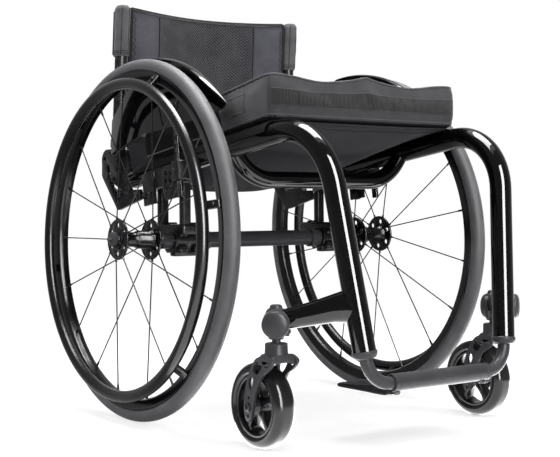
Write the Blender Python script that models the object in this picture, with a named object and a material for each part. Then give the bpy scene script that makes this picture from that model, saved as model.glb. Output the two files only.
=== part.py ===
"""Rigid active wheelchair: open frame, cambered rear wheels, small front casters, fold-down back.

Metres, +Z up. The chair faces -Y, X is across it, and the pieces called left lie at +X.
Lengths along Y below are measured from the rear axle; at the end the empty "chair" moves the
whole so that the origin is the middle of its footprint on the floor.
"""

import math

import bmesh
import bpy
from mathutils import Matrix, Vector

SEAT = 0.0003  # gap between pieces that touch
TUBE_FACETS = 14
CAMBER_FACETS = 16
HUB_FACETS = 14
SIDES = {"left": 1, "right": -1}

# Rear wheels, 24 in with a 1 in tyre, and the seat rails' height over them
WHEEL_R = 0.295
RAIL_Z_AT_AXLE = WHEEL_R + 0.1206

# Side frames: a seat rail that bends down into the front leg
SIDE_TUBE_R = 0.0167
SIDE_TUBE_WALL = 0.002
RAIL_HALF_SPACING = 0.1787
RAIL_SLOPE = -0.1355
RAIL_END_Y = 0.118
LEG_BEND_Y = -0.4006
LEG_BEND_R = 0.0988

# Tyres, rims, spokes, hubs and push rings
TYRE_SECTION_R = 0.0125
WHEEL_HALF_TRACK = RAIL_HALF_SPACING + 0.0734
CAMBER = math.radians(1.53)
RIM_DEPTH = 0.0175
RIM_HALF_WIDTH = 0.0108
RIM_WALL = 0.0022
BEAD_DEPTH = 0.006
SPOKE_COUNT = 18
SPOKE_R = 0.0013
SPOKE_PHASE = {"left": math.radians(10), "right": 0.0}
NIPPLE_BAND_WIDTH = 0.006
NIPPLE_BAND_THICKNESS = 0.0012
HUB_HALF_SPAN = 0.033
HUB_FLANGE_R = 0.0325
HUB_FLANGE_THICKNESS = 0.0045
HUB_SHELL_R = 0.0135
HUB_NOSE_R = 0.016
HUB_NOSE_LENGTH = 0.004
HUB_INNER_NOSE_LENGTH = 0.007
FLANGE_HOLE_COUNT = 6
FLANGE_HOLE_R = 0.0044
FLANGE_HOLE_CIRCLE_R = HUB_FLANGE_R - 0.0105
WHEEL_FACETS = 2 * SPOKE_COUNT
HANDRIM_R = WHEEL_R - 0.0424
HANDRIM_TUBE_R = 0.0095
HANDRIM_OFFSET = RIM_HALF_WIDTH + 0.0205
HANDRIM_TABS = 6
TAB_WIDTH = 0.016
TAB_THICKNESS = 0.003

# Quick-release axles
AXLE_R = 0.00635
AXLE_REACH = 0.105
AXLE_CAP_R = 0.0125
AXLE_CAP_LENGTH = 0.007
AXLE_BORE_R = 0.0045
BUTTON_R = AXLE_BORE_R - 0.0007
BUTTON_TRAVEL = 0.004
BUTTON_PROUD = 0.0055
BUTTON_DEPTH = 0.006

# Casters, 5 in soft roll
CASTER_R = 0.0615
CASTER_HALF_WIDTH = 0.0172
CASTER_HALF_TRACK = RAIL_HALF_SPACING + 0.0422
CASTER_STEM_Y = LEG_BEND_Y + 0.0556
CASTER_TRAIL = 0.0353
CASTER_TYRE_DEPTH = 0.0165
CASTER_CORE_RIM = 0.004
CASTER_HUB_R = 0.0135
CASTER_SPOKES = 5
CASTER_FACETS = 24
CASTER_AXLE_R = 0.004
CASTER_AXLE_HEAD_R = 0.0065
FORK_GAP = 0.0022
FORK_LEG_THICKNESS = 0.0048
FORK_LEG_END_R = 0.0125
FORK_CROWN_Z = 2 * CASTER_R + 0.014
FORK_COLLAR_R = 0.0162
FORK_COLLAR_HEIGHT = 0.0165
STEM_R = 0.0062
STEM_LENGTH = 0.061
HOUSING_Z = FORK_CROWN_Z + 0.0455
HOUSING_R = 0.0197
HOUSING_YAW = math.radians(38)
HOUSING_REAR = 0.0204
HOUSING_FRONT = 0.0425
HOUSING_NECK_R = 0.0118
HOUSING_NECK_LENGTH = 0.025

# Tube under the seat, and the tube between the rear wheels
CROSS_R = 0.0136
CROSS_Y = -0.175
CROSS_DROP = 0.0498
CROSS_CORNER_X = RAIL_HALF_SPACING - 0.0357
CROSS_BEND_R = 0.08
CAMBER_TUBE_R = 0.0136
CAMBER_TUBE_WALL = 0.0022
CAMBER_TUBE_DROP = 0.0031
CAMBER_TUBE_HALF_LENGTH = WHEEL_HALF_TRACK - 0.0521
PLUG_FLANGE = 0.003
PLUG_LENGTH = 0.045

# Clamps on the camber tube, uprights and seat brackets
CLAMP_OUTER_X = RAIL_HALF_SPACING + 0.0053
CLAMP_WIDTH = 0.053
CLAMP_WALL = 0.0069
CLAMP_COLLAR_WIDTH = 0.021
CLAMP_COLLAR_R = CAMBER_TUBE_R + 0.0032
CLAMP_TOP_RISE = 0.0274
CLAMP_BLOCK_HEIGHT = 0.02
CLAMP_BLOCK_HALF_DEPTH = 0.048
CLAMP_BOSS_DROP = 0.0263
CLAMP_BOSS_HALF_DEPTH = 0.0085
CLAMP_SLIT = 0.0016
UPRIGHT_X = RAIL_HALF_SPACING - 0.0077
UPRIGHT_MID_Y = 0.009
UPRIGHT_HALF_SPACING = 0.0354
UPRIGHT_WIDTH = 0.018
UPRIGHT_DEPTH = 0.0135
UPRIGHT_SEATING = 0.012
BRACKET_DROP = 0.034
BRACKET_HALF_WIDTH = 0.0195
BRACKET_HALF_DEPTH = 0.047
BRACKET_HOLE_R = 0.003

# Caster arms
ARM_LEG_HEIGHT = 0.04
ARM_LEG_WIDTH = 0.027
ARM_END_HEIGHT = 0.028
ARM_END_WIDTH = 0.024
ARM_LEG_Z = HOUSING_Z + 0.0205
ARM_END_Z = HOUSING_Z + 0.0013

# Footrest
COLLAR_LENGTH = 0.011
COLLAR_R = SIDE_TUBE_R + 0.0011
COLLAR_SPIGOT = 0.03
EXTENSION_R = 0.0093
EXTENSION_BEND_R = 0.042
EXTENSION_IN_LEG = 0.055
FOOT_X = RAIL_HALF_SPACING - 0.0441
FOOT_Y = LEG_BEND_Y - 0.0456
FOOT_Z = 0.0974
LEG_END_RISE = 0.048
FOOT_SLEEVE_R = EXTENSION_R + 0.0035
FOOT_SLEEVE_HALF_LENGTH = FOOT_X - 0.0381
EXTENSION_IN_SLEEVE = 0.04
FOOTPLATE_HALF_WIDTH = FOOT_SLEEVE_HALF_LENGTH + 0.0115
FOOTPLATE_DEPTH = 0.135
FOOTPLATE_FRONT_Y = FOOT_Y - 0.0088
FOOTPLATE_THICKNESS = 0.005
FOOTPLATE_CORNER_R = 0.028

# Fold-down back
PIVOT_Y = RAIL_END_Y + 0.028
PIVOT_Z = RAIL_Z_AT_AXLE + RAIL_SLOPE * RAIL_END_Y + 0.0024
PIVOT_R = 0.004
HINGE_X = RAIL_HALF_SPACING + 0.0103
HINGE_PLATE_THICKNESS = 0.006
RAIL_CAP_LENGTH = 0.0085
POST_X = RAIL_HALF_SPACING + 0.0083
POST_R = 0.011
POST_BASE_BACK = 0.026
POST_BASE_RISE = 0.0545
POST_TOP_BACK = 0.006
BACK_HEIGHT = 0.304
POST_TOP_RISE = BACK_HEIGHT - 0.006
POST_COLLAR_R = POST_R + 0.0028
POST_COLLAR_LENGTH = 0.015
ELBOW_THICKNESS = 0.008
ELBOW_WIDTH = 0.017
SLEEVE_HALF_WIDTH = POST_R + 0.0028
SLEEVE_LENGTH = 0.0895
SLEEVE_TOP_RISE = BACK_HEIGHT + 0.0015

# Soft parts
SLING_THICKNESS = 0.0032
SLING_START = 134
SLING_STEP = 32
SLING_FRONT_Y = LEG_BEND_Y + 0.1136
SLING_REAR_Y = RAIL_END_Y - 0.018
CUSHION_HALF_WIDTH = RAIL_HALF_SPACING + SIDE_TUBE_R + 0.0006
CUSHION_FRONT_Y = SLING_FRONT_Y - 0.0065
CUSHION_REAR_Y = RAIL_END_Y - 0.028
CUSHION_THICKNESS = 0.0705
CUSHION_REAR_THICKNESS = 0.056
CUSHION_CORNER_R = 0.03
CUSHION_EDGE_R = 0.009
CUSHION_POMMEL = 0.005
CUSHION_TROUGH = 0.0105
BACK_HALF_WIDTH = POST_X - SLEEVE_HALF_WIDTH - SEAT
BACK_THICKNESS = 0.014
BACK_BOTTOM_RISE = 0.06
BACK_SAG = 0.03
BACK_TOP_DIP = 0.007

# Side guards
GUARD_X = RAIL_HALF_SPACING + 0.0336
GUARD_THICKNESS = 0.0026
GUARD_LIFT = 0.052
GUARD_NOSE = 0.006
GUARD_REAR_RISE = 0.1
FENDER_GAP = 0.003
FENDER_WIDTH = 0.0117
FENDER_TIP = math.radians(12)
FENDER_REAR_ANGLE = math.radians(8)
GUARD_POST_Y = -0.0657
GUARD_POST_WIDTH = 0.0125
GUARD_POST_THICKNESS = 0.006
GUARD_POST_BOTTOM = 0.062
GUARD_HOLE_R = 0.0025
GUARD_HOLE_PITCH = 0.013
RECEIVER_HEIGHT = 0.032
RECEIVER_WIDTH = GUARD_POST_WIDTH + 0.0095

BLACK_GLOSS = ("gloss_black", (0.012, 0.012, 0.014), 0.12, 0.0)
BLACK_SATIN = ("satin_black", (0.03, 0.03, 0.032), 0.4, 0.3)
GREY_SATIN = ("satin_grey", (0.09, 0.09, 0.095), 0.45, 0.5)
STEEL = ("steel", (0.45, 0.45, 0.46), 0.3, 1.0)
RUBBER = ("rubber", (0.035, 0.035, 0.037), 0.7, 0.0)
CASTER_RUBBER = ("caster_rubber", (0.03, 0.03, 0.033), 0.35, 0.0)
FABRIC = ("fabric", (0.035, 0.036, 0.04), 0.9, 0.0)

AXLE_Z = (WHEEL_R - TYRE_SECTION_R) * math.cos(CAMBER) + TYRE_SECTION_R
CAMBER_TUBE_Z = AXLE_Z - CAMBER_TUBE_DROP


def clear_scene():
    for old in list(bpy.data.objects):
        bpy.data.objects.remove(old, do_unlink=True)


def bore_for(radius, facets):
    """Radius of a faceted bore whose flats clear a round piece of this radius."""
    return (radius + SEAT) / math.cos(math.pi / facets)


def leg_plug_r():
    """Radius of a round piece that fits inside the faceted bore of a side tube."""
    return (SIDE_TUBE_R - SIDE_TUBE_WALL) * math.cos(math.pi / TUBE_FACETS) - SEAT


def rail_z(y):
    """Height of a seat rail's centre line at this distance behind the rear axle."""
    return RAIL_Z_AT_AXLE + RAIL_SLOPE * y


def material(finish):
    name, colour, roughness, metallic = finish
    made = bpy.data.materials.get(name)
    if made:
        return made
    made = bpy.data.materials.new(name)
    made.use_nodes = True
    shader = made.node_tree.nodes["Principled BSDF"]
    shader.inputs["Base Color"].default_value = (*colour, 1)
    shader.inputs["Roughness"].default_value = roughness
    shader.inputs["Metallic"].default_value = metallic
    return made


def empty(name, parent=None, matrix=None):
    made = bpy.data.objects.new(name, None)
    bpy.context.collection.objects.link(made)
    made.parent = parent
    made.matrix_local = matrix or Matrix()
    return made


def part(name, bm, finish, parent, smooth=True):
    """An object from a bmesh whose coordinates are the parent's."""
    bmesh.ops.recalc_face_normals(bm, faces=bm.faces[:])
    mesh = bpy.data.meshes.new(name)
    bm.to_mesh(mesh)
    bm.free()
    if smooth:
        mesh.shade_smooth()
        mesh.set_sharp_from_angle(angle=math.radians(35))
    mesh.materials.append(material(finish))
    made = bpy.data.objects.new(name, mesh)
    bpy.context.collection.objects.link(made)
    made.parent = parent
    return made


def boolean(target, tool, operation):
    """Joins or cuts the target with the tool, which is used up."""
    modifier = target.modifiers.new(operation, "BOOLEAN")
    modifier.operation = operation
    modifier.solver = "EXACT"
    modifier.object = tool
    bpy.context.view_layer.update()
    graph = bpy.context.evaluated_depsgraph_get()
    mesh = bpy.data.meshes.new_from_object(target.evaluated_get(graph))
    target.modifiers.clear()
    target.data = mesh
    bpy.data.objects.remove(tool, do_unlink=True)
    return target


def joined(target, *tools):
    for tool in tools:
        boolean(target, tool, "UNION")
    return target


def cut(target, *tools):
    for tool in tools:
        boolean(target, tool, "DIFFERENCE")
    return target


def rounded_path(corners, radii, steps=7):
    """Straight runs through the corners, each inner corner replaced by an arc of its radius."""
    corners = [Vector(corner) for corner in corners]
    path = [corners[0]]
    for before, corner, after, radius in zip(corners, corners[1:], corners[2:], radii):
        back = (before - corner).normalized()
        ahead = (after - corner).normalized()
        half = back.angle(ahead) / 2
        centre = corner + (back + ahead).normalized() * radius / math.sin(half)
        start = corner + back * radius / math.tan(half) - centre
        end = corner + ahead * radius / math.tan(half) - centre
        turn = start.angle(end)
        for step in range(steps + 1):
            share = step / steps
            spoke = start * math.sin((1 - share) * turn) + end * math.sin(share * turn)
            path.append(centre + spoke / math.sin(turn))
    path.append(corners[-1])
    return path


def path_frames(path, up):
    """One (centre, across, over) per path point, carried along without twisting."""
    frames = []
    across = None
    for index, point in enumerate(path):
        ahead = path[min(index + 1, len(path) - 1)] - path[max(index - 1, 0)]
        ahead.normalize()
        hint = across if across else Vector(up).cross(ahead)
        across = (hint - ahead * hint.dot(ahead)).normalized()
        frames.append((point, across, ahead.cross(across)))
    return frames


def add_loops(bm, loops):
    """Quads between neighbouring closed loops of points; returns the rings of vertices."""
    rings = [[bm.verts.new(point) for point in loop] for loop in loops]
    for one, two in zip(rings, rings[1:]):
        for index in range(len(one)):
            after = (index + 1) % len(one)
            bm.faces.new((one[index], one[after], two[after], two[index]))
    return rings


def circle(radius, sides, turn=0.5):
    angles = [2 * math.pi * (index + turn) / sides for index in range(sides)]
    return [(radius * math.cos(angle), radius * math.sin(angle)) for angle in angles]


def rounded_box(width, height, radius, steps=2):
    """Outline of a box with round corners, anticlockwise, centred."""
    outline = []
    for quarter, (sign_x, sign_y) in enumerate(((1, 1), (-1, 1), (-1, -1), (1, -1))):
        for step in range(steps + 1):
            angle = math.pi / 2 * (quarter + step / steps)
            outline.append((
                sign_x * (width / 2 - radius) + radius * math.cos(angle),
                sign_y * (height / 2 - radius) + radius * math.sin(angle),
            ))
    return outline


def sweep(path, sections, up=(0, 0, 1), bores=None):
    """A bmesh of sections carried along a path; bores, if given, make it a hollow with open ends."""
    path = [Vector(point) for point in path]
    if not isinstance(sections[0][0], (tuple, list)):
        sections = [sections] * len(path)
    frames = path_frames(path, up)

    def loops(outlines):
        return [
            [centre + across * x + over * y for x, y in outline]
            for (centre, across, over), outline in zip(frames, outlines)
        ]

    bm = bmesh.new()
    outer = add_loops(bm, loops(sections))
    if bores is None:
        bm.faces.new(outer[0])
        bm.faces.new(outer[-1])
        return bm
    if not isinstance(bores[0][0], (tuple, list)):
        bores = [bores] * len(path)
    inner = add_loops(bm, loops(bores))
    for end in (0, -1):
        for index in range(len(outer[end])):
            after = (index + 1) % len(outer[end])
            bm.faces.new((outer[end][index], outer[end][after], inner[end][after], inner[end][index]))
    return bm


def turned(profile, facets, closed=False, matrix=None):
    """A bmesh of an (along X, radius) profile turned about X. An open one ends on the axis."""
    bm = bmesh.new()
    angles = [2 * math.pi * (index + 0.5) / facets for index in range(facets)]
    rings = []
    for along, radius in profile:
        if radius < 1e-6:
            rings.append([bm.verts.new((along, 0, 0))])
        else:
            points = [(along, radius * math.cos(angle), radius * math.sin(angle)) for angle in angles]
            rings.append([bm.verts.new(point) for point in points])
    pairs = list(zip(rings, rings[1:]))
    if closed:
        pairs.append((rings[-1], rings[0]))
    for one, two in pairs:
        for index in range(facets):
            after = (index + 1) % facets
            corners = []
            for vertex in (one[index % len(one)], one[after % len(one)],
                           two[after % len(two)], two[index % len(two)]):
                if vertex not in corners:
                    corners.append(vertex)
            bm.faces.new(corners)
    if matrix:
        bm.transform(matrix)
    return bm


def slab(outline, holes, matrix, thickness):
    """A flat piece: an outline with holes, in the matrix's XY plane, thickened evenly about it."""
    bm = bmesh.new()
    edges = []
    for loop in (outline, *holes):
        ring = [bm.verts.new((x, y, -thickness / 2)) for x, y in loop]
        edges += [bm.edges.new((ring[index - 1], ring[index])) for index in range(len(ring))]
    bmesh.ops.triangle_fill(bm, use_beauty=True, edges=edges)
    extruded = bmesh.ops.extrude_face_region(bm, geom=bm.faces[:])
    raised = [item for item in extruded["geom"] if isinstance(item, bmesh.types.BMVert)]
    bmesh.ops.translate(bm, vec=(0, 0, thickness), verts=raised)
    bm.transform(matrix)
    return bm


def around_flats(profile, facets):
    """The profile with radii that put the turned piece's flats, not its edges, at their true radius."""
    return [(along_x, radius / math.cos(math.pi / facets)) for along_x, radius in profile]


def block(size, matrix, bevel=0.0):
    bm = bmesh.new()
    bmesh.ops.create_cube(bm, size=1)
    bmesh.ops.scale(bm, vec=size, verts=bm.verts[:])
    if bevel:
        bmesh.ops.bevel(bm, geom=bm.edges[:], offset=bevel, segments=1, affect="EDGES")
    bm.transform(matrix)
    return bm


def at(x, y, z):
    return Matrix.Translation((x, y, z))


def along(start, end):
    """A matrix at start whose X axis points to end and whose Z axis stays as upright as it can."""
    start, end = Vector(start), Vector(end)
    ahead = (end - start).normalized()
    level = Vector((0, 0, 1)).cross(ahead)
    level = level.normalized() if level.length > 1e-6 else Vector((0, 1, 0))
    turn = Matrix((ahead, level, ahead.cross(level))).transposed()
    return Matrix.Translation(start) @ turn.to_4x4()


def rod(start, end, radius, facets=12):
    length = (Vector(end) - Vector(start)).length
    return turned([(0, 0), (0, radius), (length, radius), (length, 0)], facets, matrix=along(start, end))


def facing_x(x):
    """A matrix that lays an outline of (y, z) points upright across X."""
    return Matrix(((0, 0, 1, x), (1, 0, 0, 0), (0, 1, 0, 0), (0, 0, 0, 1)))


def wheel_matrix(side):
    """The rear wheel's own frame: X out along the axle, Z up in the leaning wheel plane."""
    out = Vector((side * math.cos(CAMBER), 0, math.sin(CAMBER)))
    up = Vector((-side * math.sin(CAMBER), 0, math.cos(CAMBER)))
    turn = Matrix((out, up.cross(out), up)).transposed()
    return at(side * WHEEL_HALF_TRACK, 0, AXLE_Z) @ turn.to_4x4()


def foot_corner(side):
    """Where the line of the front leg meets the line of the footrest's sleeve."""
    return Vector((side * FOOT_X, FOOT_Y, FOOT_Z))


def side_path(side):
    """Centre line of a seat rail and the front leg that it bends down into."""
    bend = Vector((side * RAIL_HALF_SPACING, LEG_BEND_Y, rail_z(LEG_BEND_Y)))
    rear = Vector((side * RAIL_HALF_SPACING, RAIL_END_Y, rail_z(RAIL_END_Y)))
    share = 1 - LEG_END_RISE / (bend.z - FOOT_Z)
    return rounded_path([rear, bend, bend.lerp(foot_corner(side), share)], [LEG_BEND_R], steps=6)


def leg_direction(side):
    path = side_path(side)
    return (path[-1] - path[-2]).normalized()


def side_blank(side, margin, parent):
    """The side tube as a solid cutter, larger by margin all round."""
    bm = sweep(side_path(side), circle(SIDE_TUBE_R + margin, TUBE_FACETS))
    return part("blank", bm, BLACK_GLOSS, parent)


def side_tube(name, side, parent):
    section = circle(SIDE_TUBE_R, TUBE_FACETS)
    bore = circle(SIDE_TUBE_R - SIDE_TUBE_WALL, TUBE_FACETS)
    part(f"side_tube_{name}", sweep(side_path(side), section, bores=bore), BLACK_GLOSS, parent)


def seat_cross_tube(parent):
    rail = rail_z(CROSS_Y)
    corners = [
        (-RAIL_HALF_SPACING, CROSS_Y, rail),
        (-CROSS_CORNER_X, CROSS_Y, rail - CROSS_DROP),
        (CROSS_CORNER_X, CROSS_Y, rail - CROSS_DROP),
        (RAIL_HALF_SPACING, CROSS_Y, rail),
    ]
    path = rounded_path(corners, [CROSS_BEND_R, CROSS_BEND_R], steps=4)
    tube = part("seat_cross_tube", sweep(path, circle(CROSS_R, 12), up=(0, 1, 0)), BLACK_GLOSS, parent)
    for side in SIDES.values():
        cut(tube, side_blank(side, SEAT, parent))


def leg_point(side, z):
    """The point of the front leg's centre line at height z."""
    foot = side_path(side)[-1]
    direction = leg_direction(side)
    return foot + direction * ((z - foot.z) / direction.z)


def housing_matrix(side):
    """X runs out and forward along the caster housing's barrel, through the stem's axis."""
    ahead = Vector((side * math.sin(HOUSING_YAW), -math.cos(HOUSING_YAW), 0))
    centre = Vector((side * CASTER_HALF_TRACK, CASTER_STEM_Y, HOUSING_Z))
    return along(centre, centre + ahead)


def housing_barrel(side, margin):
    radius = HOUSING_R + margin
    profile = []
    for end, sign in ((-HOUSING_REAR - margin, -1), (HOUSING_FRONT + margin, 1)):
        dome = [(0.0, 0.0), (0.001, 0.4), (0.0045, 0.8), (0.0125, 1.0)]
        points = [(end - sign * back, share * radius) for back, share in dome]
        profile += points if sign < 0 else points[::-1]
    return turned(profile, TUBE_FACETS, matrix=housing_matrix(side))


def caster_arm(name, side, parent):
    start = leg_point(side, ARM_LEG_Z)
    end = Vector((side * CASTER_HALF_TRACK, CASTER_STEM_Y, ARM_END_Z))
    path = [start.lerp(end, share) for share in (0, 0.35, 0.7, 1)]
    sections = []
    for share in (0, 0.5, 0.85, 1):
        width = ARM_LEG_WIDTH + (ARM_END_WIDTH - ARM_LEG_WIDTH) * share
        height = ARM_LEG_HEIGHT + (ARM_END_HEIGHT - ARM_LEG_HEIGHT) * share
        sections.append([(x * width, y * height) for x, y in circle(0.5, 12)])
    arm = part(f"caster_arm_{name}", sweep(path, sections), BLACK_GLOSS, parent)
    barrel = part("blank", housing_barrel(side, SEAT), BLACK_GLOSS, parent)
    cut(arm, side_blank(side, SEAT, parent), barrel)


def camber_tube(parent):
    """Tube between the wheels, with a collar inboard of each clamp."""
    step = 0.0008
    outer = CLAMP_OUTER_X - CLAMP_WIDTH - SEAT
    inner = outer - CLAMP_COLLAR_WIDTH
    half = [(inner, CAMBER_TUBE_R), (inner + step, CLAMP_COLLAR_R), (outer - step, CLAMP_COLLAR_R),
            (outer, CAMBER_TUBE_R), (CAMBER_TUBE_HALF_LENGTH, CAMBER_TUBE_R)]
    bore_r = CAMBER_TUBE_R - CAMBER_TUBE_WALL
    profile = [(-x, radius) for x, radius in half[::-1]] + half
    profile += [(CAMBER_TUBE_HALF_LENGTH, bore_r), (-CAMBER_TUBE_HALF_LENGTH, bore_r)]
    bm = turned(profile, CAMBER_FACETS, closed=True, matrix=at(0, 0, CAMBER_TUBE_Z))
    part("camber_tube", bm, GREY_SATIN, parent)


def hub_inner_end():
    return -HUB_HALF_SPAN - HUB_INNER_NOSE_LENGTH


def camber_plug(name, side, parent):
    """Holds the axle at the camber angle in the end of the camber tube."""
    body_r = CAMBER_TUBE_R - CAMBER_TUBE_WALL - SEAT
    end_x = CAMBER_TUBE_HALF_LENGTH
    profile = [
        (end_x - PLUG_LENGTH, 0),
        (end_x - PLUG_LENGTH, body_r),
        (end_x + SEAT, body_r),
        (end_x + SEAT, CAMBER_TUBE_R),
        (end_x + PLUG_FLANGE, CAMBER_TUBE_R),
        (end_x + PLUG_FLANGE, 0),
    ]
    turn = at(0, 0, CAMBER_TUBE_Z) @ Matrix.Diagonal((side, 1, 1, 1))
    plug = part(f"camber_plug_{name}", turned(profile, CAMBER_FACETS, matrix=turn), STEEL, parent)
    nose_length = WHEEL_HALF_TRACK - end_x + hub_inner_end() - 0.7 * PLUG_FLANGE
    wheel = wheel_matrix(side)
    start = wheel @ Vector((hub_inner_end() - SEAT - nose_length, 0, 0))
    end = wheel @ Vector((hub_inner_end() - SEAT, 0, 0))
    joined(plug, part("nose", rod(start, end, CAMBER_TUBE_R - 0.0015, 12), STEEL, parent))
    deep = wheel @ Vector((-2 * AXLE_REACH, 0, 0))
    cut(plug, part("bore", rod(deep, wheel @ Vector((0, 0, 0)), bore_for(AXLE_R, 10), 10), STEEL, parent))


def upright_ys():
    return {"front": UPRIGHT_MID_Y - UPRIGHT_HALF_SPACING, "rear": UPRIGHT_MID_Y + UPRIGHT_HALF_SPACING}


def upright_ends(y):
    bottom = CAMBER_TUBE_Z + CLAMP_TOP_RISE - UPRIGHT_SEATING
    return bottom, rail_z(y) - BRACKET_DROP + UPRIGHT_SEATING


def upright_bm(side, y, margin):
    bottom, top = upright_ends(y)
    section = rounded_box(UPRIGHT_WIDTH + 2 * margin, UPRIGHT_DEPTH + 2 * margin, 0.003 + margin, 1)
    ends = [(side * UPRIGHT_X, y, bottom - margin), (side * UPRIGHT_X, y, top + margin)]
    return sweep(ends, section, up=(0, 1, 0))


def clamp_outline():
    """Split clamp seen from the side, as (y, z): its head, round body, bolt boss, slit and bore."""
    slit = CLAMP_SLIT / 2
    body_r = CAMBER_TUBE_R + CLAMP_WALL
    head = CLAMP_TOP_RISE - CLAMP_BLOCK_HEIGHT
    head_turn = math.degrees(math.asin(head / body_r))
    boss_turn = math.degrees(math.acos(CLAMP_BOSS_HALF_DEPTH / body_r))
    flat_turn = 180 / CAMBER_FACETS
    bore_r = CAMBER_TUBE_R + SEAT
    bore_bottom = -bore_r * math.cos(math.radians(flat_turn))
    front, rear = UPRIGHT_MID_Y - CLAMP_BLOCK_HALF_DEPTH, UPRIGHT_MID_Y + CLAMP_BLOCK_HALF_DEPTH
    top, boss, soft = CLAMP_TOP_RISE, -CLAMP_BOSS_DROP, 0.2 * CLAMP_BLOCK_HEIGHT
    outline = [(rear, head), (rear, top - soft), (rear - soft, top)]
    outline += [(front + soft, top), (front, top - soft), (front, head)]
    outline += arc((0, 0), body_r, 180 - head_turn, 180 + boss_turn, 4)
    outline += [(-CLAMP_BOSS_HALF_DEPTH, boss), (-slit, boss), (-slit, bore_bottom)]
    outline += arc((0, 0), bore_r, 270 - flat_turn, flat_turn - 90, CAMBER_FACETS - 1)
    outline += [(slit, bore_bottom), (slit, boss), (CLAMP_BOSS_HALF_DEPTH, boss)]
    outline += arc((0, 0), body_r, -boss_turn, head_turn, 4)
    return [(y, z + CAMBER_TUBE_Z) for y, z in outline]


def camber_clamp(name, side, parent):
    middle = facing_x(side * (CLAMP_OUTER_X - CLAMP_WIDTH / 2))
    bm = slab(clamp_outline(), [], middle, CLAMP_WIDTH)
    clamp = part(f"camber_clamp_{name}", bm, BLACK_SATIN, parent)
    for y in upright_ys().values():
        cut(clamp, part("socket", upright_bm(side, y, SEAT), BLACK_SATIN, parent))


def uprights(name, side, parent):
    for place, y in upright_ys().items():
        part(f"upright_{place}_{name}", upright_bm(side, y, 0), GREY_SATIN, parent)


def rail_matrix(side, y, below=0.0):
    """On a rail's centre line: Y runs back along the rail, Z stands square to it."""
    slope = Matrix.Rotation(math.atan(RAIL_SLOPE), 4, "X")
    return at(side * RAIL_HALF_SPACING, y, rail_z(y)) @ slope @ at(0, 0, -below)


def seat_bracket(name, side, parent):
    """Saddle under the rail with two sockets for the uprights and a cheek with bolt holes."""
    height = BRACKET_DROP
    frame = rail_matrix(side, UPRIGHT_MID_Y)
    size = (2 * BRACKET_HALF_WIDTH, 2 * BRACKET_HALF_DEPTH, height)
    saddle = part(
        f"seat_bracket_{name}", block(size, frame @ at(0, 0, -height / 2), bevel=0.003), BLACK_SATIN, parent
    )
    cheek_size = (0.005, 0.036, height + 0.02)
    cheek_x = side * (BRACKET_HALF_WIDTH + cheek_size[0] / 2 - 0.001)
    for y in upright_ys().values():
        place = rail_matrix(side, y) @ at(cheek_x, 0, -cheek_size[2] / 2 - 0.004)
        joined(saddle, part("cheek", block(cheek_size, place), BLACK_SATIN, parent))
        for across in (-0.009, 0.009):
            hole = rail_matrix(side, y) @ at(cheek_x, across, -height - 0.006)
            ends = [hole @ Vector((-0.006, 0, 0)), hole @ Vector((0.006, 0, 0))]
            cut(saddle, part("hole", rod(*ends, BRACKET_HOLE_R, 6), BLACK_SATIN, parent))
    cut(saddle, side_blank(side, SEAT, parent))
    for y in upright_ys().values():
        cut(saddle, part("socket", upright_bm(side, y, SEAT), BLACK_SATIN, parent))


def arc(centre, radius, start, end, steps):
    """Points of an arc from start to end degrees, both included."""
    angles = [math.radians(start + (end - start) * step / steps) for step in range(steps + 1)]
    return [(centre[0] + radius * math.cos(a), centre[1] + radius * math.sin(a)) for a in angles]


def hinge_outline():
    """Hinge plate seen from the side, as (y, z) from the pivot: behind and below the rail's end."""
    below = rail_z(RAIL_END_Y) - SIDE_TUBE_R - 0.0035 - PIVOT_Z
    front = RAIL_END_Y + 0.004 - PIVOT_Y
    return (
        arc((0.059, 0.032), 0.02, -15, 90, 4)
        + arc((-0.004, 0.044), 0.008, 90, 180, 2)
        + [(front, 0.013), (front, below), (front - 0.034, below)]
        + arc((front - 0.032, below - 0.0114), 0.007, 180, 250, 2)
        + arc((0.017, -0.047), 0.011, 255, 330, 3)
        + arc((0.059, 0.013), 0.021, 322, 342, 2)
    )


def slot(centre, length, width, angle, steps=3):
    """Outline of a round-ended slot in a flat piece."""
    turn = math.degrees(angle)
    half = (length - width) / 2
    ends = []
    for sign in (1, -1):
        middle = (centre[0] + sign * half * math.cos(angle), centre[1] + sign * half * math.sin(angle))
        start = turn - 90 if sign > 0 else turn + 90
        ends += arc(middle, width / 2, start, start + 180, steps)
    return ends


def hinge_plate(name, side, parent):
    holes = [
        slot((0.052, 0.016), 0.016, 0.007, math.radians(80), 2),
        slot((0.03, -0.017), 0.026, 0.008, math.radians(25), 2),
        arc((0.066, 0.035), 0.004, 0, 300, 5),
    ]
    x = side * HINGE_X
    bm = slab(hinge_outline(), holes, at(0, PIVOT_Y, PIVOT_Z) @ facing_x(x), HINGE_PLATE_THICKNESS)
    plate = part(f"hinge_plate_{name}", bm, GREY_SATIN, parent)
    rear = Vector((side * RAIL_HALF_SPACING, RAIL_END_Y, rail_z(RAIL_END_Y)))
    back = Vector((0, 1, RAIL_SLOPE)).normalized()
    profile = [(-0.035, 0), (-0.035, leg_plug_r()), (SEAT, leg_plug_r()),
               (SEAT, SIDE_TUBE_R), (RAIL_CAP_LENGTH, SIDE_TUBE_R), (RAIL_CAP_LENGTH, 0)]
    plug = turned(profile, 12, matrix=along(rear, rear + back))
    pin_ends = [(x, PIVOT_Y, PIVOT_Z), (side * (HINGE_X - 0.0165), PIVOT_Y, PIVOT_Z)]
    pin = rod(*pin_ends, PIVOT_R, 10)
    joined(plate, *(part("more", bm, GREY_SATIN, parent) for bm in (plug, pin)))


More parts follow.
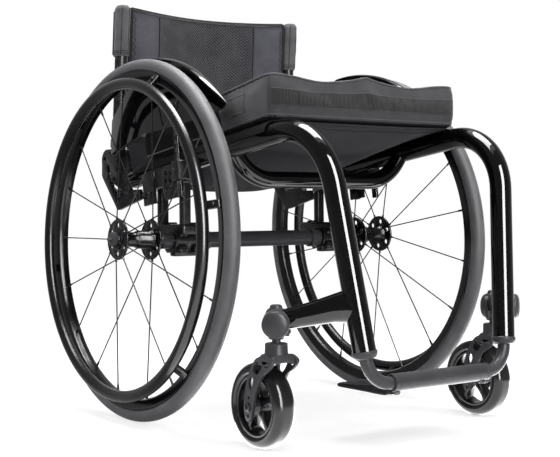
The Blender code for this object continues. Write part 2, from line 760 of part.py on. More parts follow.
def back_post(name, side, pivot):
    """Bent post: a lug on the pivot, a collar, and a cane up to the top of the back."""
    x = side * POST_X
    base = Vector((x, POST_BASE_BACK, POST_BASE_RISE))
    top = Vector((x, POST_TOP_BACK, POST_TOP_RISE))
    rise = (top - base).normalized()
    post = part(f"back_post_{name}", rod(base, top, POST_R, 12), BLACK_SATIN, pivot)
    collar = rod(base, base + rise * POST_COLLAR_LENGTH, POST_COLLAR_R, 12)
    lug_x = side * (HINGE_X - HINGE_PLATE_THICKNESS / 2 - SEAT - ELBOW_THICKNESS / 2)
    lug = rod((lug_x - ELBOW_THICKNESS / 2, 0, 0), (lug_x + ELBOW_THICKNESS / 2, 0, 0), ELBOW_WIDTH / 2, 12)
    section = rounded_box(ELBOW_THICKNESS, ELBOW_WIDTH, 0.0025, 1)
    elbow_top = base + rise * 0.006
    knee = (lug_x, 0.62 * POST_BASE_BACK, 0.55 * POST_BASE_RISE)
    path = [(lug_x, 0, 0), knee, (lug_x, elbow_top.y, elbow_top.z)]
    elbow = sweep(path, section, up=(0, 1, 0))
    joined(post, *(part("more", bm, BLACK_SATIN, pivot) for bm in (collar, lug, elbow)))
    ends = [(lug_x + reach * ELBOW_THICKNESS, 0, 0) for reach in (-1, 1)]
    hole = rod(*ends, bore_for(PIVOT_R, 10), 10)
    cut(post, part("hole", hole, BLACK_SATIN, pivot))


def post_y(rise):
    """How far behind the pivot a back post's centre line is at this height above it."""
    share = (rise - POST_BASE_RISE) / (POST_TOP_RISE - POST_BASE_RISE)
    return POST_BASE_BACK + (POST_TOP_BACK - POST_BASE_BACK) * share


def post_sleeve(name, side, pivot):
    """Padded sleeve over the top of a post."""
    bottom = SLEEVE_TOP_RISE - SLEEVE_LENGTH
    ends = [(side * POST_X, post_y(rise), rise) for rise in (bottom, SLEEVE_TOP_RISE)]
    square = rounded_box(2 * SLEEVE_HALF_WIDTH, 2 * SLEEVE_HALF_WIDTH, 0.007, 2)
    path = [Vector(ends[0]).lerp(Vector(ends[1]), share) for share in (0, 0.92, 1)]
    sections = [square, square, [(0.8 * x, 0.8 * y) for x, y in square]]
    sleeve = part(f"post_sleeve_{name}", sweep(path, sections, up=(0, 1, 0)), FABRIC, pivot)
    bore_ends = [(side * POST_X, post_y(rise), rise) for rise in (bottom - 0.01, POST_TOP_RISE + SEAT)]
    cut(sleeve, part("bore", rod(*bore_ends, bore_for(POST_R, 12), 12), FABRIC, pivot))


def back_point(u, v, face):
    """Point of the back's front (face -1) or rear (face 1) at u across and v up, both -1 to 1."""
    top = BACK_HEIGHT - BACK_TOP_DIP * (1 - u**4)
    rise = BACK_BOTTOM_RISE + (top - BACK_BOTTOM_RISE) * (v + 1) / 2
    fullness = (1 - abs(u) ** 5) ** 0.5 * (1 - abs(v) ** 6) ** 0.5
    y = post_y(rise) + BACK_SAG * (1 - u * u) + face * BACK_THICKNESS / 2 * (0.35 + 0.65 * fullness)
    return (BACK_HALF_WIDTH * u, y, rise)


def back_upholstery(pivot):
    """Padded back that bellies out behind the posts, fullest in the middle."""
    columns, rows = 14, 7
    bm = bmesh.new()
    grids = {}
    for face in (-1, 1):
        for column in range(columns + 1):
            for row in range(rows + 1):
                u = math.sin(math.pi / 2 * (2 * column / columns - 1))
                v = math.sin(math.pi / 2 * (2 * row / rows - 1))
                grids[face, column, row] = bm.verts.new(back_point(u, v, face))
    for face in (-1, 1):
        for column in range(columns):
            for row in range(rows):
                corners = ((column, row), (column + 1, row), (column + 1, row + 1), (column, row + 1))
                bm.faces.new([grids[face, a, b] for a, b in corners])
    border = [(c, 0) for c in range(columns)] + [(columns, r) for r in range(rows)]
    border += [(c, rows) for c in range(columns, 0, -1)] + [(0, r) for r in range(rows, 0, -1)]
    for index in range(len(border)):
        one, two = border[index - 1], border[index]
        bm.faces.new((grids[-1, *one], grids[-1, *two], grids[1, *two], grids[1, *one]))
    part("back_upholstery", bm, FABRIC, pivot)


def sling_sag(y):
    """How far the sling hangs below the rails' centre lines in the middle of the seat."""
    share = (y - SLING_FRONT_Y) / (SLING_REAR_Y - SLING_FRONT_Y)
    return 0.012 + 0.026 * math.sin(math.pi * min(share, 1) * 0.62)


def sling_wrap_r():
    """Radius of the sling's inner corners round a rail, whose flats clear the tube."""
    return (SIDE_TUBE_R + 2 * SEAT) / math.cos(math.radians(SLING_STEP) / 2)


def seat_sling(parent):
    """Fabric over the tops of both rails, hanging between them."""
    angles = [math.radians(SLING_START - SLING_STEP * step) for step in range(5)]
    wrap_r = sling_wrap_r()
    rings = []
    for row in range(8):
        y = SLING_FRONT_Y + (SLING_REAR_Y - SLING_FRONT_Y) * row / 7
        sag = sling_sag(y)
        middle = []
        for index in range(11):
            u = index / 5 - 1
            x = u * (RAIL_HALF_SPACING - 0.6 * wrap_r)
            middle.append((x, rail_z(y) - sag + (sag + 0.8 * wrap_r) * u**4))
        wrap = [(RAIL_HALF_SPACING + wrap_r * math.cos(angle), rail_z(y) + wrap_r * math.sin(angle))
                for angle in angles]
        lower = [(-x, z) for x, z in wrap[::-1]] + middle[1:-1] + wrap
        upper = []
        for index, (x, z) in enumerate(lower):
            before = lower[max(index - 1, 0)]
            after = lower[min(index + 1, len(lower) - 1)]
            run, rise = after[0] - before[0], after[1] - before[1]
            length = math.hypot(run, rise)
            upper.append((x - SLING_THICKNESS * rise / length, z + SLING_THICKNESS * run / length))
        rings.append([(x, y, z) for x, z in lower + upper[::-1]])
    bm = bmesh.new()
    loops = add_loops(bm, rings)
    half = len(loops[0]) // 2
    for end in (0, -1):
        ring = loops[end]
        for index in range(half - 1):
            bm.faces.new((ring[index], ring[index + 1], ring[-index - 2], ring[-index - 1]))
    part("seat_sling", bm, FABRIC, parent)


def rounded_plan(x, y, half_x, half_y, radius):
    """Carries a point of a rectangle to the same place in one with round corners."""
    over_x = max(0.0, abs(x) - half_x + radius)
    over_y = max(0.0, abs(y) - half_y + radius)
    if not over_x or not over_y:
        return x, y
    draw = max(over_x, over_y) / math.hypot(over_x, over_y)
    return (math.copysign(half_x - radius + over_x * draw, x),
            math.copysign(half_y - radius + over_y * draw, y))


def cushion_point(u, v, w):
    """Point of the cushion's skin from its place on a cube of half side 1: across, back and up."""
    inset = CUSHION_EDGE_R * w**4
    half_x = CUSHION_HALF_WIDTH - inset
    half_y = (CUSHION_REAR_Y - CUSHION_FRONT_Y) / 2 - inset
    x, y = rounded_plan(half_x * u, half_y * v, half_x, half_y, CUSHION_CORNER_R - inset)
    y += (CUSHION_FRONT_Y + CUSHION_REAR_Y) / 2
    base = rail_z(y) + sling_wrap_r() * math.sin(math.radians(SLING_START - SLING_STEP))
    base += SLING_THICKNESS + SEAT
    lift = 0.28 * CUSHION_EDGE_R * max(abs(u), abs(v)) ** 60
    if w < 0:
        return x, y, base + CUSHION_THICKNESS * (0.5 + 0.5 * w) + lift * w**4
    share = (y - CUSHION_FRONT_Y) / (CUSHION_REAR_Y - CUSHION_FRONT_Y)
    height = CUSHION_THICKNESS + (CUSHION_REAR_THICKNESS - CUSHION_THICKNESS) * share
    trough = CUSHION_TROUGH * math.exp(-(((abs(x) - 0.46 * CUSHION_HALF_WIDTH) / 0.05) ** 2))
    pommel = CUSHION_POMMEL * math.exp(-((x / 0.02) ** 2)) * (1 - share) ** 2
    seat = CUSHION_TROUGH * math.exp(-((x / 0.1) ** 2)) * share**0.5
    top = height - trough * (1 - share) ** 0.5 - seat + pommel
    return x, y, base + CUSHION_THICKNESS * 0.5 + (top - CUSHION_THICKNESS * 0.5) * w - lift * w**4


def seat_cushion(parent):
    """Contoured foam cushion: side bolsters, thigh troughs, pommel and a hollow for the seat."""
    cuts = 16
    levels = (-1, -0.72, -0.25, 0.25, 0.72, 1)
    bm = bmesh.new()
    verts = {}

    def vert(i, j, k):
        if (i, j, k) not in verts:
            u = math.sin(math.pi / 2 * (2 * i / cuts - 1))
            v = math.sin(math.pi / 2 * (2 * j / cuts - 1))
            verts[i, j, k] = bm.verts.new(cushion_point(u, v, levels[k]))
        return verts[i, j, k]

    for i in range(cuts):
        for j in range(cuts):
            for k in (0, len(levels) - 1):
                bm.faces.new([vert(i, j, k), vert(i + 1, j, k), vert(i + 1, j + 1, k), vert(i, j + 1, k)])
        for k in range(len(levels) - 1):
            for j in (0, cuts):
                bm.faces.new([vert(i, j, k), vert(i + 1, j, k), vert(i + 1, j, k + 1), vert(i, j, k + 1)])
                bm.faces.new([vert(j, i, k), vert(j, i + 1, k), vert(j, i + 1, k + 1), vert(j, i, k + 1)])
    part("cushion", bm, FABRIC, parent)


def guard_point(angle, radius):
    """(y, z) at this angle in front of the top of the wheel, about the rear axle."""
    return -radius * math.sin(angle), AXLE_Z + radius * math.cos(angle)


def guard_post_x(side):
    """Middle of the guard's post, measured across from the rail's centre line."""
    return side * (GUARD_X - GUARD_THICKNESS / 2 - GUARD_POST_THICKNESS / 2 + 2 * SEAT - RAIL_HALF_SPACING)


def guard_front_angle(radius):
    """Where the guard's top, an arc about the axle, comes down to the nose of its lower edge."""
    low, high = 0.0, math.pi / 2
    for _ in range(40):
        middle = (low + high) / 2
        y, z = guard_point(middle, radius)
        if z > rail_z(y) + GUARD_LIFT + GUARD_NOSE:
            low = middle
        else:
            high = middle
    return low


def side_guard(name, side, guard):
    """Panel beside the seat whose top curls outward beside the tyre, on a pierced post."""
    radius = WHEEL_R + FENDER_GAP
    steps = 10
    front = guard_front_angle(radius)
    turn = front + FENDER_REAR_ANGLE
    angles = [front - turn * step / steps for step in range(steps + 1)]
    top = [guard_point(angle, radius - 0.001) for angle in angles]
    low = [(PIVOT_Y, PIVOT_Z + GUARD_REAR_RISE), (PIVOT_Y + 0.004, PIVOT_Z + 0.041)]
    low += [(PIVOT_Y - 0.01, PIVOT_Z + 0.038)]
    low += [(y, rail_z(y) + GUARD_LIFT + lift) for y, lift in ((0.04, 0.009), (-0.09, 0.001))]
    nose = top[0][0] + 0.022
    low += [(nose, rail_z(nose) + GUARD_LIFT)]
    bm = slab(top + low, [], facing_x(side * GUARD_X), GUARD_THICKNESS)
    panel = part(f"side_guard_{name}", bm, BLACK_GLOSS, guard)
    lip = []
    for angle in angles[1:]:
        width = GUARD_THICKNESS + FENDER_WIDTH * min(1, (front - angle) / FENDER_TIP)
        loop = []
        for share, thickness in ((0, 1), (0.3, 1), (1, 1), (1, -1), (0.3, -1), (0, -1)):
            x = GUARD_X - GUARD_THICKNESS / 2 + width * share
            drop = 0.002 * share**2 + 0.003 * (1 - share) ** 4
            y, z = guard_point(angle, radius - drop + 0.0011 * thickness)
            loop.append((side * x, y, z))
        lip.append(loop)
    bm = bmesh.new()
    rings = add_loops(bm, lip)
    bm.faces.new(rings[0])
    bm.faces.new(rings[-1])
    post_frame = rail_matrix(side, GUARD_POST_Y)
    post_x = guard_post_x(side)
    height = GUARD_POST_BOTTOM + 0.085
    bar_place = post_frame @ at(post_x, 0, height / 2 - GUARD_POST_BOTTOM)
    bar = block((GUARD_POST_THICKNESS, GUARD_POST_WIDTH, height), bar_place, bevel=0.001)
    joined(panel, part("lip", bm, BLACK_GLOSS, guard), part("bar", bar, BLACK_GLOSS, guard))
    for index in range(4):
        middle = post_frame @ at(post_x, 0, 0.012 + GUARD_HOLE_PITCH * index)
        ends = [middle @ Vector((-0.01, 0, 0)), middle @ Vector((0.01, 0, 0))]
        cut(panel, part("hole", rod(*ends, GUARD_HOLE_R, 6), BLACK_GLOSS, guard))


def guard_receiver(name, side, parent):
    """Socket on the outside of the rail that the guard's post stands in."""
    frame = rail_matrix(side, GUARD_POST_Y)
    inner = SIDE_TUBE_R - 0.006
    outer = side * guard_post_x(side) + GUARD_POST_THICKNESS / 2 + 0.0054
    size = (outer - inner, RECEIVER_WIDTH, RECEIVER_HEIGHT)
    place = frame @ at(side * (inner + outer) / 2, 0, -RECEIVER_HEIGHT / 2 - 0.002)
    receiver = part(f"guard_receiver_{name}", block(size, place, bevel=0.002), BLACK_SATIN, parent)
    gap = (GUARD_POST_THICKNESS + 2 * SEAT, GUARD_POST_WIDTH + 2 * SEAT, 0.2)
    cut(receiver, part("socket", block(gap, frame @ at(guard_post_x(side), 0, 0)), BLACK_SATIN, parent))
    cut(receiver, side_blank(side, SEAT, parent))


def leg_collar(name, side, parent):
    foot = side_path(side)[-1]
    down = leg_direction(side)
    ring = rod(foot + down * SEAT, foot + down * COLLAR_LENGTH, COLLAR_R, 14)
    collar = part(f"leg_collar_{name}", ring, GREY_SATIN, parent)
    spigot = rod(foot - down * COLLAR_SPIGOT, foot + down * 0.002, leg_plug_r(), 12)
    joined(collar, part("spigot", spigot, GREY_SATIN, parent))
    bore = rod(foot - down * 0.1, foot + down * 0.05, bore_for(EXTENSION_R, 12), 12)
    cut(collar, part("bore", bore, GREY_SATIN, parent))


def extension_tube(name, side, parent):
    foot = side_path(side)[-1]
    down = leg_direction(side)
    end = (side * (FOOT_SLEEVE_HALF_LENGTH - EXTENSION_IN_SLEEVE), FOOT_Y, FOOT_Z)
    corners = [foot - down * EXTENSION_IN_LEG, foot_corner(side), end]
    path = rounded_path(corners, [EXTENSION_BEND_R], steps=6)
    part(f"extension_tube_{name}", sweep(path, circle(EXTENSION_R, 12), up=(0, 1, 0)), GREY_SATIN, parent)


def foot_sleeve(parent):
    ends = [(-FOOT_SLEEVE_HALF_LENGTH, FOOT_Y, FOOT_Z), (FOOT_SLEEVE_HALF_LENGTH, FOOT_Y, FOOT_Z)]
    bore = circle(bore_for(EXTENSION_R, TUBE_FACETS), TUBE_FACETS)
    part("foot_sleeve", sweep(ends, circle(FOOT_SLEEVE_R, TUBE_FACETS), bores=bore), BLACK_SATIN, parent)


def footplate(parent):
    """Flat plate screwed up against the sleeve, with round rear corners."""
    outline = arc((FOOTPLATE_HALF_WIDTH - FOOTPLATE_CORNER_R, FOOTPLATE_DEPTH - FOOTPLATE_CORNER_R),
                  FOOTPLATE_CORNER_R, 0, 90, 4)
    outline += [(-x, y) for x, y in outline[::-1]]
    outline += [(-FOOTPLATE_HALF_WIDTH, 0.004), (0.004 - FOOTPLATE_HALF_WIDTH, 0)]
    outline += [(FOOTPLATE_HALF_WIDTH - 0.004, 0), (FOOTPLATE_HALF_WIDTH, 0.004)]
    top = FOOT_Z - FOOT_SLEEVE_R - SEAT
    place = at(0, FOOTPLATE_FRONT_Y, top - FOOTPLATE_THICKNESS / 2)
    part("footplate", slab(outline, [], place, FOOTPLATE_THICKNESS), BLACK_SATIN, parent)


def tyre_profile():
    centre = WHEEL_R - TYRE_SECTION_R
    seat_r = rim_well_r() + 0.0006
    half = RIM_HALF_WIDTH - RIM_WALL - SEAT
    crown = [(math.radians(a), TYRE_SECTION_R) for a in (-12, 36, 90, 144, 192)]
    points = [(r * math.cos(a), centre + r * math.sin(a)) for a, r in crown]
    points += [(-half, rim_edge_r()), (-half + 0.001, seat_r), (half - 0.001, seat_r)]
    return points + [(half, rim_edge_r())]


def rim_edge_r():
    return WHEEL_R - 2 * TYRE_SECTION_R + BEAD_DEPTH - 0.0005


def rim_well_r():
    return rim_edge_r() - BEAD_DEPTH


def rim_inner_r():
    return rim_edge_r() - RIM_DEPTH


def rim_profile():
    edge, well, inner = rim_edge_r(), rim_well_r(), rim_inner_r()
    half = RIM_HALF_WIDTH
    outer = [(half, edge), (half, inner + 0.005), (0, inner), (-half, inner + 0.005), (-half, edge)]
    bed = half - RIM_WALL
    return outer + [(-bed, edge), (-bed, well), (bed, well), (bed, edge)]


def wheel_tyre(name, wheel):
    profile = around_flats(tyre_profile(), WHEEL_FACETS)
    return part(f"tyre_{name}", turned(profile, WHEEL_FACETS, closed=True), RUBBER, wheel)


def wheel_rim(name, wheel):
    profile = around_flats(rim_profile(), WHEEL_FACETS)
    return part(f"rim_{name}", turned(profile, WHEEL_FACETS, closed=True), BLACK_SATIN, wheel)


def around(radius, angle, x=0.0):
    return Vector((x, radius * math.cos(angle), radius * math.sin(angle)))


def wheel_spokes(name, wheel):
    """Straight spokes that end on the edges of both flanges in turn, on a thin band inside the rim."""
    half = NIPPLE_BAND_WIDTH / 2
    profile = [(0, rim_inner_r() - SEAT), (0, rim_inner_r() - SEAT - NIPPLE_BAND_THICKNESS)]
    (_, outer), (_, inner) = around_flats(profile, WHEEL_FACETS)
    bm = bmesh.new()
    rings = []
    for index in range(WHEEL_FACETS):
        angle = 2 * math.pi * (index + 0.5) / WHEEL_FACETS
        corners = ((outer, -half), (outer, half), (inner, half), (inner, -half))
        rings.append([bm.verts.new(around(radius, angle, x)) for radius, x in corners])
    for index, ring in enumerate(rings):
        after = rings[(index + 1) % WHEEL_FACETS]
        for corner in (0, 1, 3):
            following = (corner + 1) % 4
            bm.faces.new((ring[corner], ring[following], after[following], after[corner]))
        facet = (ring[3], ring[2], after[2], after[3])
        if index % 2 == 0:
            bm.faces.new(facet)
            continue
        sign = 1 if index % 4 == 1 else -1
        angle = 2 * math.pi * (index + 1) / WHEEL_FACETS
        along_rim = around(SPOKE_R, angle + math.pi / 2)
        square = ((-1, -1), (-1, 1), (1, 1), (1, -1))
        sides = [t * along_rim + Vector((x * SPOKE_R, 0, 0)) for t, x in square]
        nipple = sum((vertex.co for vertex in facet), Vector()) / 4 + Vector((0.4 * sign * half, 0, 0))
        flange_x = sign * (HUB_HALF_SPAN - HUB_FLANGE_THICKNESS / 2)
        head = around(HUB_FLANGE_R * math.cos(math.pi / SPOKE_COUNT) + SEAT, angle, flange_x)
        base = [bm.verts.new(nipple + offset) for offset in sides]
        tip = [bm.verts.new(head + offset) for offset in sides]
        for low, high in ((facet, base), (base, tip)):
            for corner in range(4):
                following = (corner + 1) % 4
                bm.faces.new((low[corner], low[following], high[following], high[corner]))
        bm.faces.new(tip)
    return part(f"spokes_{name}", bm, BLACK_SATIN, wheel)


def hub(name, wheel):
    """Barrel with a pierced flange near each end."""
    span, flange, bore = HUB_HALF_SPAN, HUB_FLANGE_THICKNESS, bore_for(AXLE_R, HUB_FACETS)
    inner_end, outer_end = hub_inner_end(), span + HUB_NOSE_LENGTH
    thick = span - flange - 0.004
    profile = [(inner_end, bore), (inner_end, HUB_NOSE_R - 0.002), (-thick, HUB_NOSE_R - 0.001),
               (-thick + 0.008, HUB_SHELL_R), (thick - 0.008, HUB_SHELL_R), (thick, HUB_NOSE_R),
               (outer_end, HUB_NOSE_R - 0.001), (outer_end, bore)]
    made = part(f"hub_{name}", turned(profile, HUB_FACETS, closed=True), BLACK_SATIN, wheel)
    holes = [circle(HUB_NOSE_R - 0.004, 6)]
    for index in range(FLANGE_HOLE_COUNT):
        middle = around(FLANGE_HOLE_CIRCLE_R, 2 * math.pi * (index + 0.5) / FLANGE_HOLE_COUNT)
        holes.append([(middle.y + y, middle.z + z) for y, z in circle(FLANGE_HOLE_R, 6)])
    for x in (-span + flange / 2, span - flange / 2):
        disc = slab(circle(HUB_FLANGE_R, SPOKE_COUNT), holes, facing_x(x), flange)
        joined(made, part("flange", disc, BLACK_SATIN, wheel))
    return made


def handrim(name, wheel):
    """Push ring outside the tyre, on tabs that reach in to the rim."""
    tube = [(HANDRIM_OFFSET + x, HANDRIM_R + y) for x, y in circle(HANDRIM_TUBE_R, 6)]
    bm = turned(around_flats(tube, WHEEL_FACETS), WHEEL_FACETS, closed=True)
    ring = part(f"handrim_{name}", bm, BLACK_SATIN, wheel)
    start_x = RIM_HALF_WIDTH + SEAT
    inner, outer = rim_inner_r() + 0.006, rim_edge_r() - 0.001
    end_x = HANDRIM_OFFSET - 0.3 * HANDRIM_TUBE_R
    for index in range(HANDRIM_TABS):
        angle = 2 * math.pi * (index + 0.7) / HANDRIM_TABS
        turn = Matrix.Rotation(angle, 4, "X")
        outline = [(start_x, inner), (end_x, HANDRIM_R - 0.006), (end_x, HANDRIM_R + 0.004),
                   (start_x + TAB_THICKNESS, outer), (start_x, outer)]
        plane = Matrix(((1, 0, 0, 0), (0, 0, 1, 0), (0, 1, 0, 0), (0, 0, 0, 1)))
        tab = slab(outline, [], turn @ plane, TAB_WIDTH)
        joined(ring, part("tab", tab, BLACK_SATIN, wheel))
    return ring


def axle(name, side, parent):
    """Quick-release axle with a domed cap; the button runs in its bore."""
    cap_start = HUB_HALF_SPAN + HUB_NOSE_LENGTH + SEAT
    profile = [
        (-AXLE_REACH, 0),
        (-AXLE_REACH, AXLE_R - 0.0015),
        (-AXLE_REACH + 0.002, AXLE_R),
        (cap_start, AXLE_R),
        (cap_start, AXLE_CAP_R),
        (cap_start + 0.5 * AXLE_CAP_LENGTH, AXLE_CAP_R - 0.0007),
        (cap_start + AXLE_CAP_LENGTH, AXLE_BORE_R + 0.002),
        (cap_start + AXLE_CAP_LENGTH, AXLE_BORE_R),
        (cap_start + AXLE_CAP_LENGTH - BUTTON_DEPTH - BUTTON_TRAVEL - 2 * SEAT, AXLE_BORE_R),
        (cap_start + AXLE_CAP_LENGTH - BUTTON_DEPTH - BUTTON_TRAVEL - 2 * SEAT, 0),
    ]
    made = part(f"axle_{name}", turned(profile, 12), STEEL, parent)
    made.matrix_local = wheel_matrix(side)


def button_face():
    return HUB_HALF_SPAN + HUB_NOSE_LENGTH + SEAT + AXLE_CAP_LENGTH + BUTTON_PROUD


def axle_button(name, wheel_place):
    face = button_face()
    profile = [
        (face - BUTTON_PROUD - BUTTON_DEPTH, 0),
        (face - BUTTON_PROUD - BUTTON_DEPTH, BUTTON_R),
        (face - 0.0012, BUTTON_R),
        (face, BUTTON_R - 0.0012),
        (face, 0),
    ]
    part(f"axle_button_{name}", turned(profile, 10), STEEL, wheel_place)


def caster_housing(name, side, parent):
    housing = part(f"caster_housing_{name}", housing_barrel(side, 0), GREY_SATIN, parent)
    x, y = side * CASTER_HALF_TRACK, CASTER_STEM_Y
    neck = rod((x, y, HOUSING_Z - HOUSING_NECK_LENGTH), (x, y, HOUSING_Z), HOUSING_NECK_R, 12)
    cap = rod((x, y, HOUSING_Z), (x, y, HOUSING_Z + HOUSING_R + 0.0065), 0.0075, 10)
    joined(housing, part("neck", neck, GREY_SATIN, parent), part("cap", cap, GREY_SATIN, parent))
    bore = rod((x, y, 0), (x, y, FORK_CROWN_Z + STEM_LENGTH + SEAT), bore_for(STEM_R, 10), 10)
    cut(housing, part("bore", bore, GREY_SATIN, parent))


def fork(name, side, stem):
    """Stem, collar, crown and two pierced legs; origin on the stem's axis at the floor."""
    stem_ends = [(0, 0, FORK_CROWN_Z), (0, 0, FORK_CROWN_Z + STEM_LENGTH)]
    made = part(f"fork_{name}", rod(*stem_ends, STEM_R, 10), GREY_SATIN, stem)
    collar_top = FORK_CROWN_Z + FORK_COLLAR_HEIGHT
    collar = rod((0, 0, FORK_CROWN_Z - 0.002), (0, 0, collar_top), FORK_COLLAR_R, 14)
    half = CASTER_HALF_WIDTH + FORK_GAP
    leg_x = half + FORK_LEG_THICKNESS / 2
    crown_size = (2 * half + 2 * FORK_LEG_THICKNESS, 0.036, 0.008)
    crown = block(crown_size, at(0, 0.004, FORK_CROWN_Z - 0.001), bevel=0.002)
    joined(made, part("collar", collar, GREY_SATIN, stem), part("crown", crown, GREY_SATIN, stem))
    top_z = FORK_CROWN_Z + 0.002
    axle_z, trail = CASTER_R, CASTER_TRAIL
    outline = (
        [(-0.014, top_z), (-0.014, top_z - 0.01)]
        + arc((trail, axle_z - 0.012), FORK_LEG_END_R, 200, 375, 4)
        + [(trail + 0.011, axle_z + 0.032), (0.022, top_z)]
    )
    leaning = math.atan2(top_z - axle_z, -trail)
    holes = [
        slot((0.27 * trail, FORK_CROWN_Z - 0.021), 0.022, 0.0105, leaning, 2),
        slot((0.72 * trail, axle_z + 0.025), 0.015, 0.0055, leaning, 2),
    ]
    for sign in (-1, 1):
        leg = slab(outline, holes, facing_x(sign * leg_x), FORK_LEG_THICKNESS)
        joined(made, part("leg", leg, GREY_SATIN, stem))
    hole = rod((-0.05, trail, axle_z), (0.05, trail, axle_z), bore_for(CASTER_AXLE_R, 10), 10)
    cut(made, part("hole", hole, GREY_SATIN, stem))


def caster_bolt(name, stem):
    half = CASTER_HALF_WIDTH + FORK_GAP + FORK_LEG_THICKNESS + SEAT
    head = half + 0.003
    profile = [
        (-head, 0),
        (-head, CASTER_AXLE_HEAD_R),
        (-half, CASTER_AXLE_HEAD_R),
        (-half, CASTER_AXLE_R),
        (half, CASTER_AXLE_R),
        (half, CASTER_AXLE_HEAD_R),
        (head, CASTER_AXLE_HEAD_R),
        (head, 0),
    ]
    part(f"caster_bolt_{name}", turned(profile, 10, matrix=at(0, CASTER_TRAIL, CASTER_R)), STEEL, stem)


def caster_core(name, wheel):
    rim_outer = CASTER_R - CASTER_TYRE_DEPTH
    rim_inner = rim_outer - CASTER_CORE_RIM
    half = CASTER_HALF_WIDTH - 0.003
    ring = [(half, rim_outer), (half, rim_inner), (-half, rim_inner), (-half, rim_outer)]
    bm = turned(around_flats(ring, CASTER_FACETS), CASTER_FACETS, closed=True)
    core = part(f"caster_core_{name}", bm, BLACK_SATIN, wheel)
    hub_half = CASTER_HALF_WIDTH + FORK_GAP - 0.0006
    bore = bore_for(CASTER_AXLE_R, 14)
    middle = [(hub_half, bore), (hub_half, 0.0095), (half - 0.002, CASTER_HUB_R),
              (0.002 - half, CASTER_HUB_R), (-hub_half, 0.0095), (-hub_half, bore)]
    hub_part = part("middle", turned(middle, 14, closed=True), BLACK_SATIN, wheel)
    for index in range(CASTER_SPOKES):
        turn = Matrix.Rotation(2 * math.pi * index / CASTER_SPOKES, 4, "X")
        length = rim_inner - CASTER_HUB_R + 0.004
        place = turn @ at(0, 0, CASTER_HUB_R - 0.002 + length / 2)
        joined(core, part("spoke", block((0.018, 0.0085, length), place), BLACK_SATIN, wheel))
    joined(core, hub_part)


def caster_tyre(name, wheel):
    """Soft-roll tyre with a round shoulder."""
    outer, inner = CASTER_R, CASTER_R - CASTER_TYRE_DEPTH + SEAT
    half = CASTER_HALF_WIDTH
    shoulder = [(0.45, 0.0), (0.82, 0.0045), (1.0, 0.0115)]
    profile = [(half * share, outer - drop) for share, drop in shoulder[::-1]]
    profile += [(-x, radius) for x, radius in profile[::-1]]
    profile = [(half - 0.0035, inner)] + profile + [(0.0035 - half, inner)]
    bm = turned(around_flats(profile, CASTER_FACETS), CASTER_FACETS, closed=True)
    part(f"caster_tyre_{name}", bm, CASTER_RUBBER, wheel)


def rear_wheel(name, side, parent):
    wheel = empty(f"wheel_{name}", parent, wheel_matrix(side) @ Matrix.Rotation(SPOKE_PHASE[name], 4, "X"))
    for make in (wheel_tyre, wheel_rim, wheel_spokes, hub, handrim):
        make(name, wheel)
    axle(name, side, parent)
    axle_button(name, empty(f"button_{name}", parent, wheel_matrix(side)))


def caster(name, side, parent):
    caster_housing(name, side, parent)
    stem = empty(f"swivel_{name}", parent, at(side * CASTER_HALF_TRACK, CASTER_STEM_Y, 0))
    fork(name, side, stem)
    caster_bolt(name, stem)
    wheel = empty(f"roll_{name}", stem, at(0, CASTER_TRAIL, CASTER_R))
    caster_core(name, wheel)
    caster_tyre(name, wheel)


def centre_on_footprint(chair):
    """Moves the chair along Y so that the middle of its length is at the origin."""
    bpy.context.view_layer.update()
    reach = [
        (made.matrix_world @ vertex.co).y
        for made in bpy.context.scene.objects
        if made.type == "MESH"
        for vertex in made.data.vertices
    ]
    chair.matrix_local = at(0, -(min(reach) + max(reach)) / 2, 0)


def main():
    clear_scene()
    chair = empty("chair")
    pivot = empty("back_pivot", chair, at(0, PIVOT_Y, PIVOT_Z))
    seat_cross_tube(chair)
    camber_tube(chair)
    for name, side in SIDES.items():
        side_tube(name, side, chair)
        caster_arm(name, side, chair)
        camber_plug(name, side, chair)
        camber_clamp(name, side, chair)
        uprights(name, side, chair)
        seat_bracket(name, side, chair)
        hinge_plate(name, side, chair)
        back_post(name, side, pivot)
        post_sleeve(name, side, pivot)
        side_guard(name, side, empty(f"guard_{name}", chair))
        guard_receiver(name, side, chair)
        leg_collar(name, side, chair)
        extension_tube(name, side, chair)
        rear_wheel(name, side, chair)
        caster(name, side, chair)
    foot_sleeve(chair)
    footplate(chair)
    seat_sling(chair)
    seat_cushion(chair)
    back_upholstery(pivot)
    centre_on_footprint(chair)


main()
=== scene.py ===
"""Rigid active wheelchair: finishes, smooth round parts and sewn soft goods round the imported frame.

Metres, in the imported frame: X across with the left side at +X, the chair faces -Y, Z up.
"""
import math
from contextlib import contextmanager

import bpy
import numpy as np
from mathutils import Matrix, Vector


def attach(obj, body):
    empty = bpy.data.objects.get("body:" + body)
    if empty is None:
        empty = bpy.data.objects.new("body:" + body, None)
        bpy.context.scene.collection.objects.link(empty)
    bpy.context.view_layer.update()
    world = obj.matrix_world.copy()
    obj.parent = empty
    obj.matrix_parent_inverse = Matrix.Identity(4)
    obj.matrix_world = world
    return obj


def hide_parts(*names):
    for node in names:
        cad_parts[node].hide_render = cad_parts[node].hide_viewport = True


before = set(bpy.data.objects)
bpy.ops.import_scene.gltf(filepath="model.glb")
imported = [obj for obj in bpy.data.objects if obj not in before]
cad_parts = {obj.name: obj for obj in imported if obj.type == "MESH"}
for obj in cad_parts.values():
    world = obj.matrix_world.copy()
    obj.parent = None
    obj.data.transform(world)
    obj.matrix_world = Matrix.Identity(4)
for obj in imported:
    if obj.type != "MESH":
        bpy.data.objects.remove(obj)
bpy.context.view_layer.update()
bpy.ops.object.select_all(action="DESELECT")

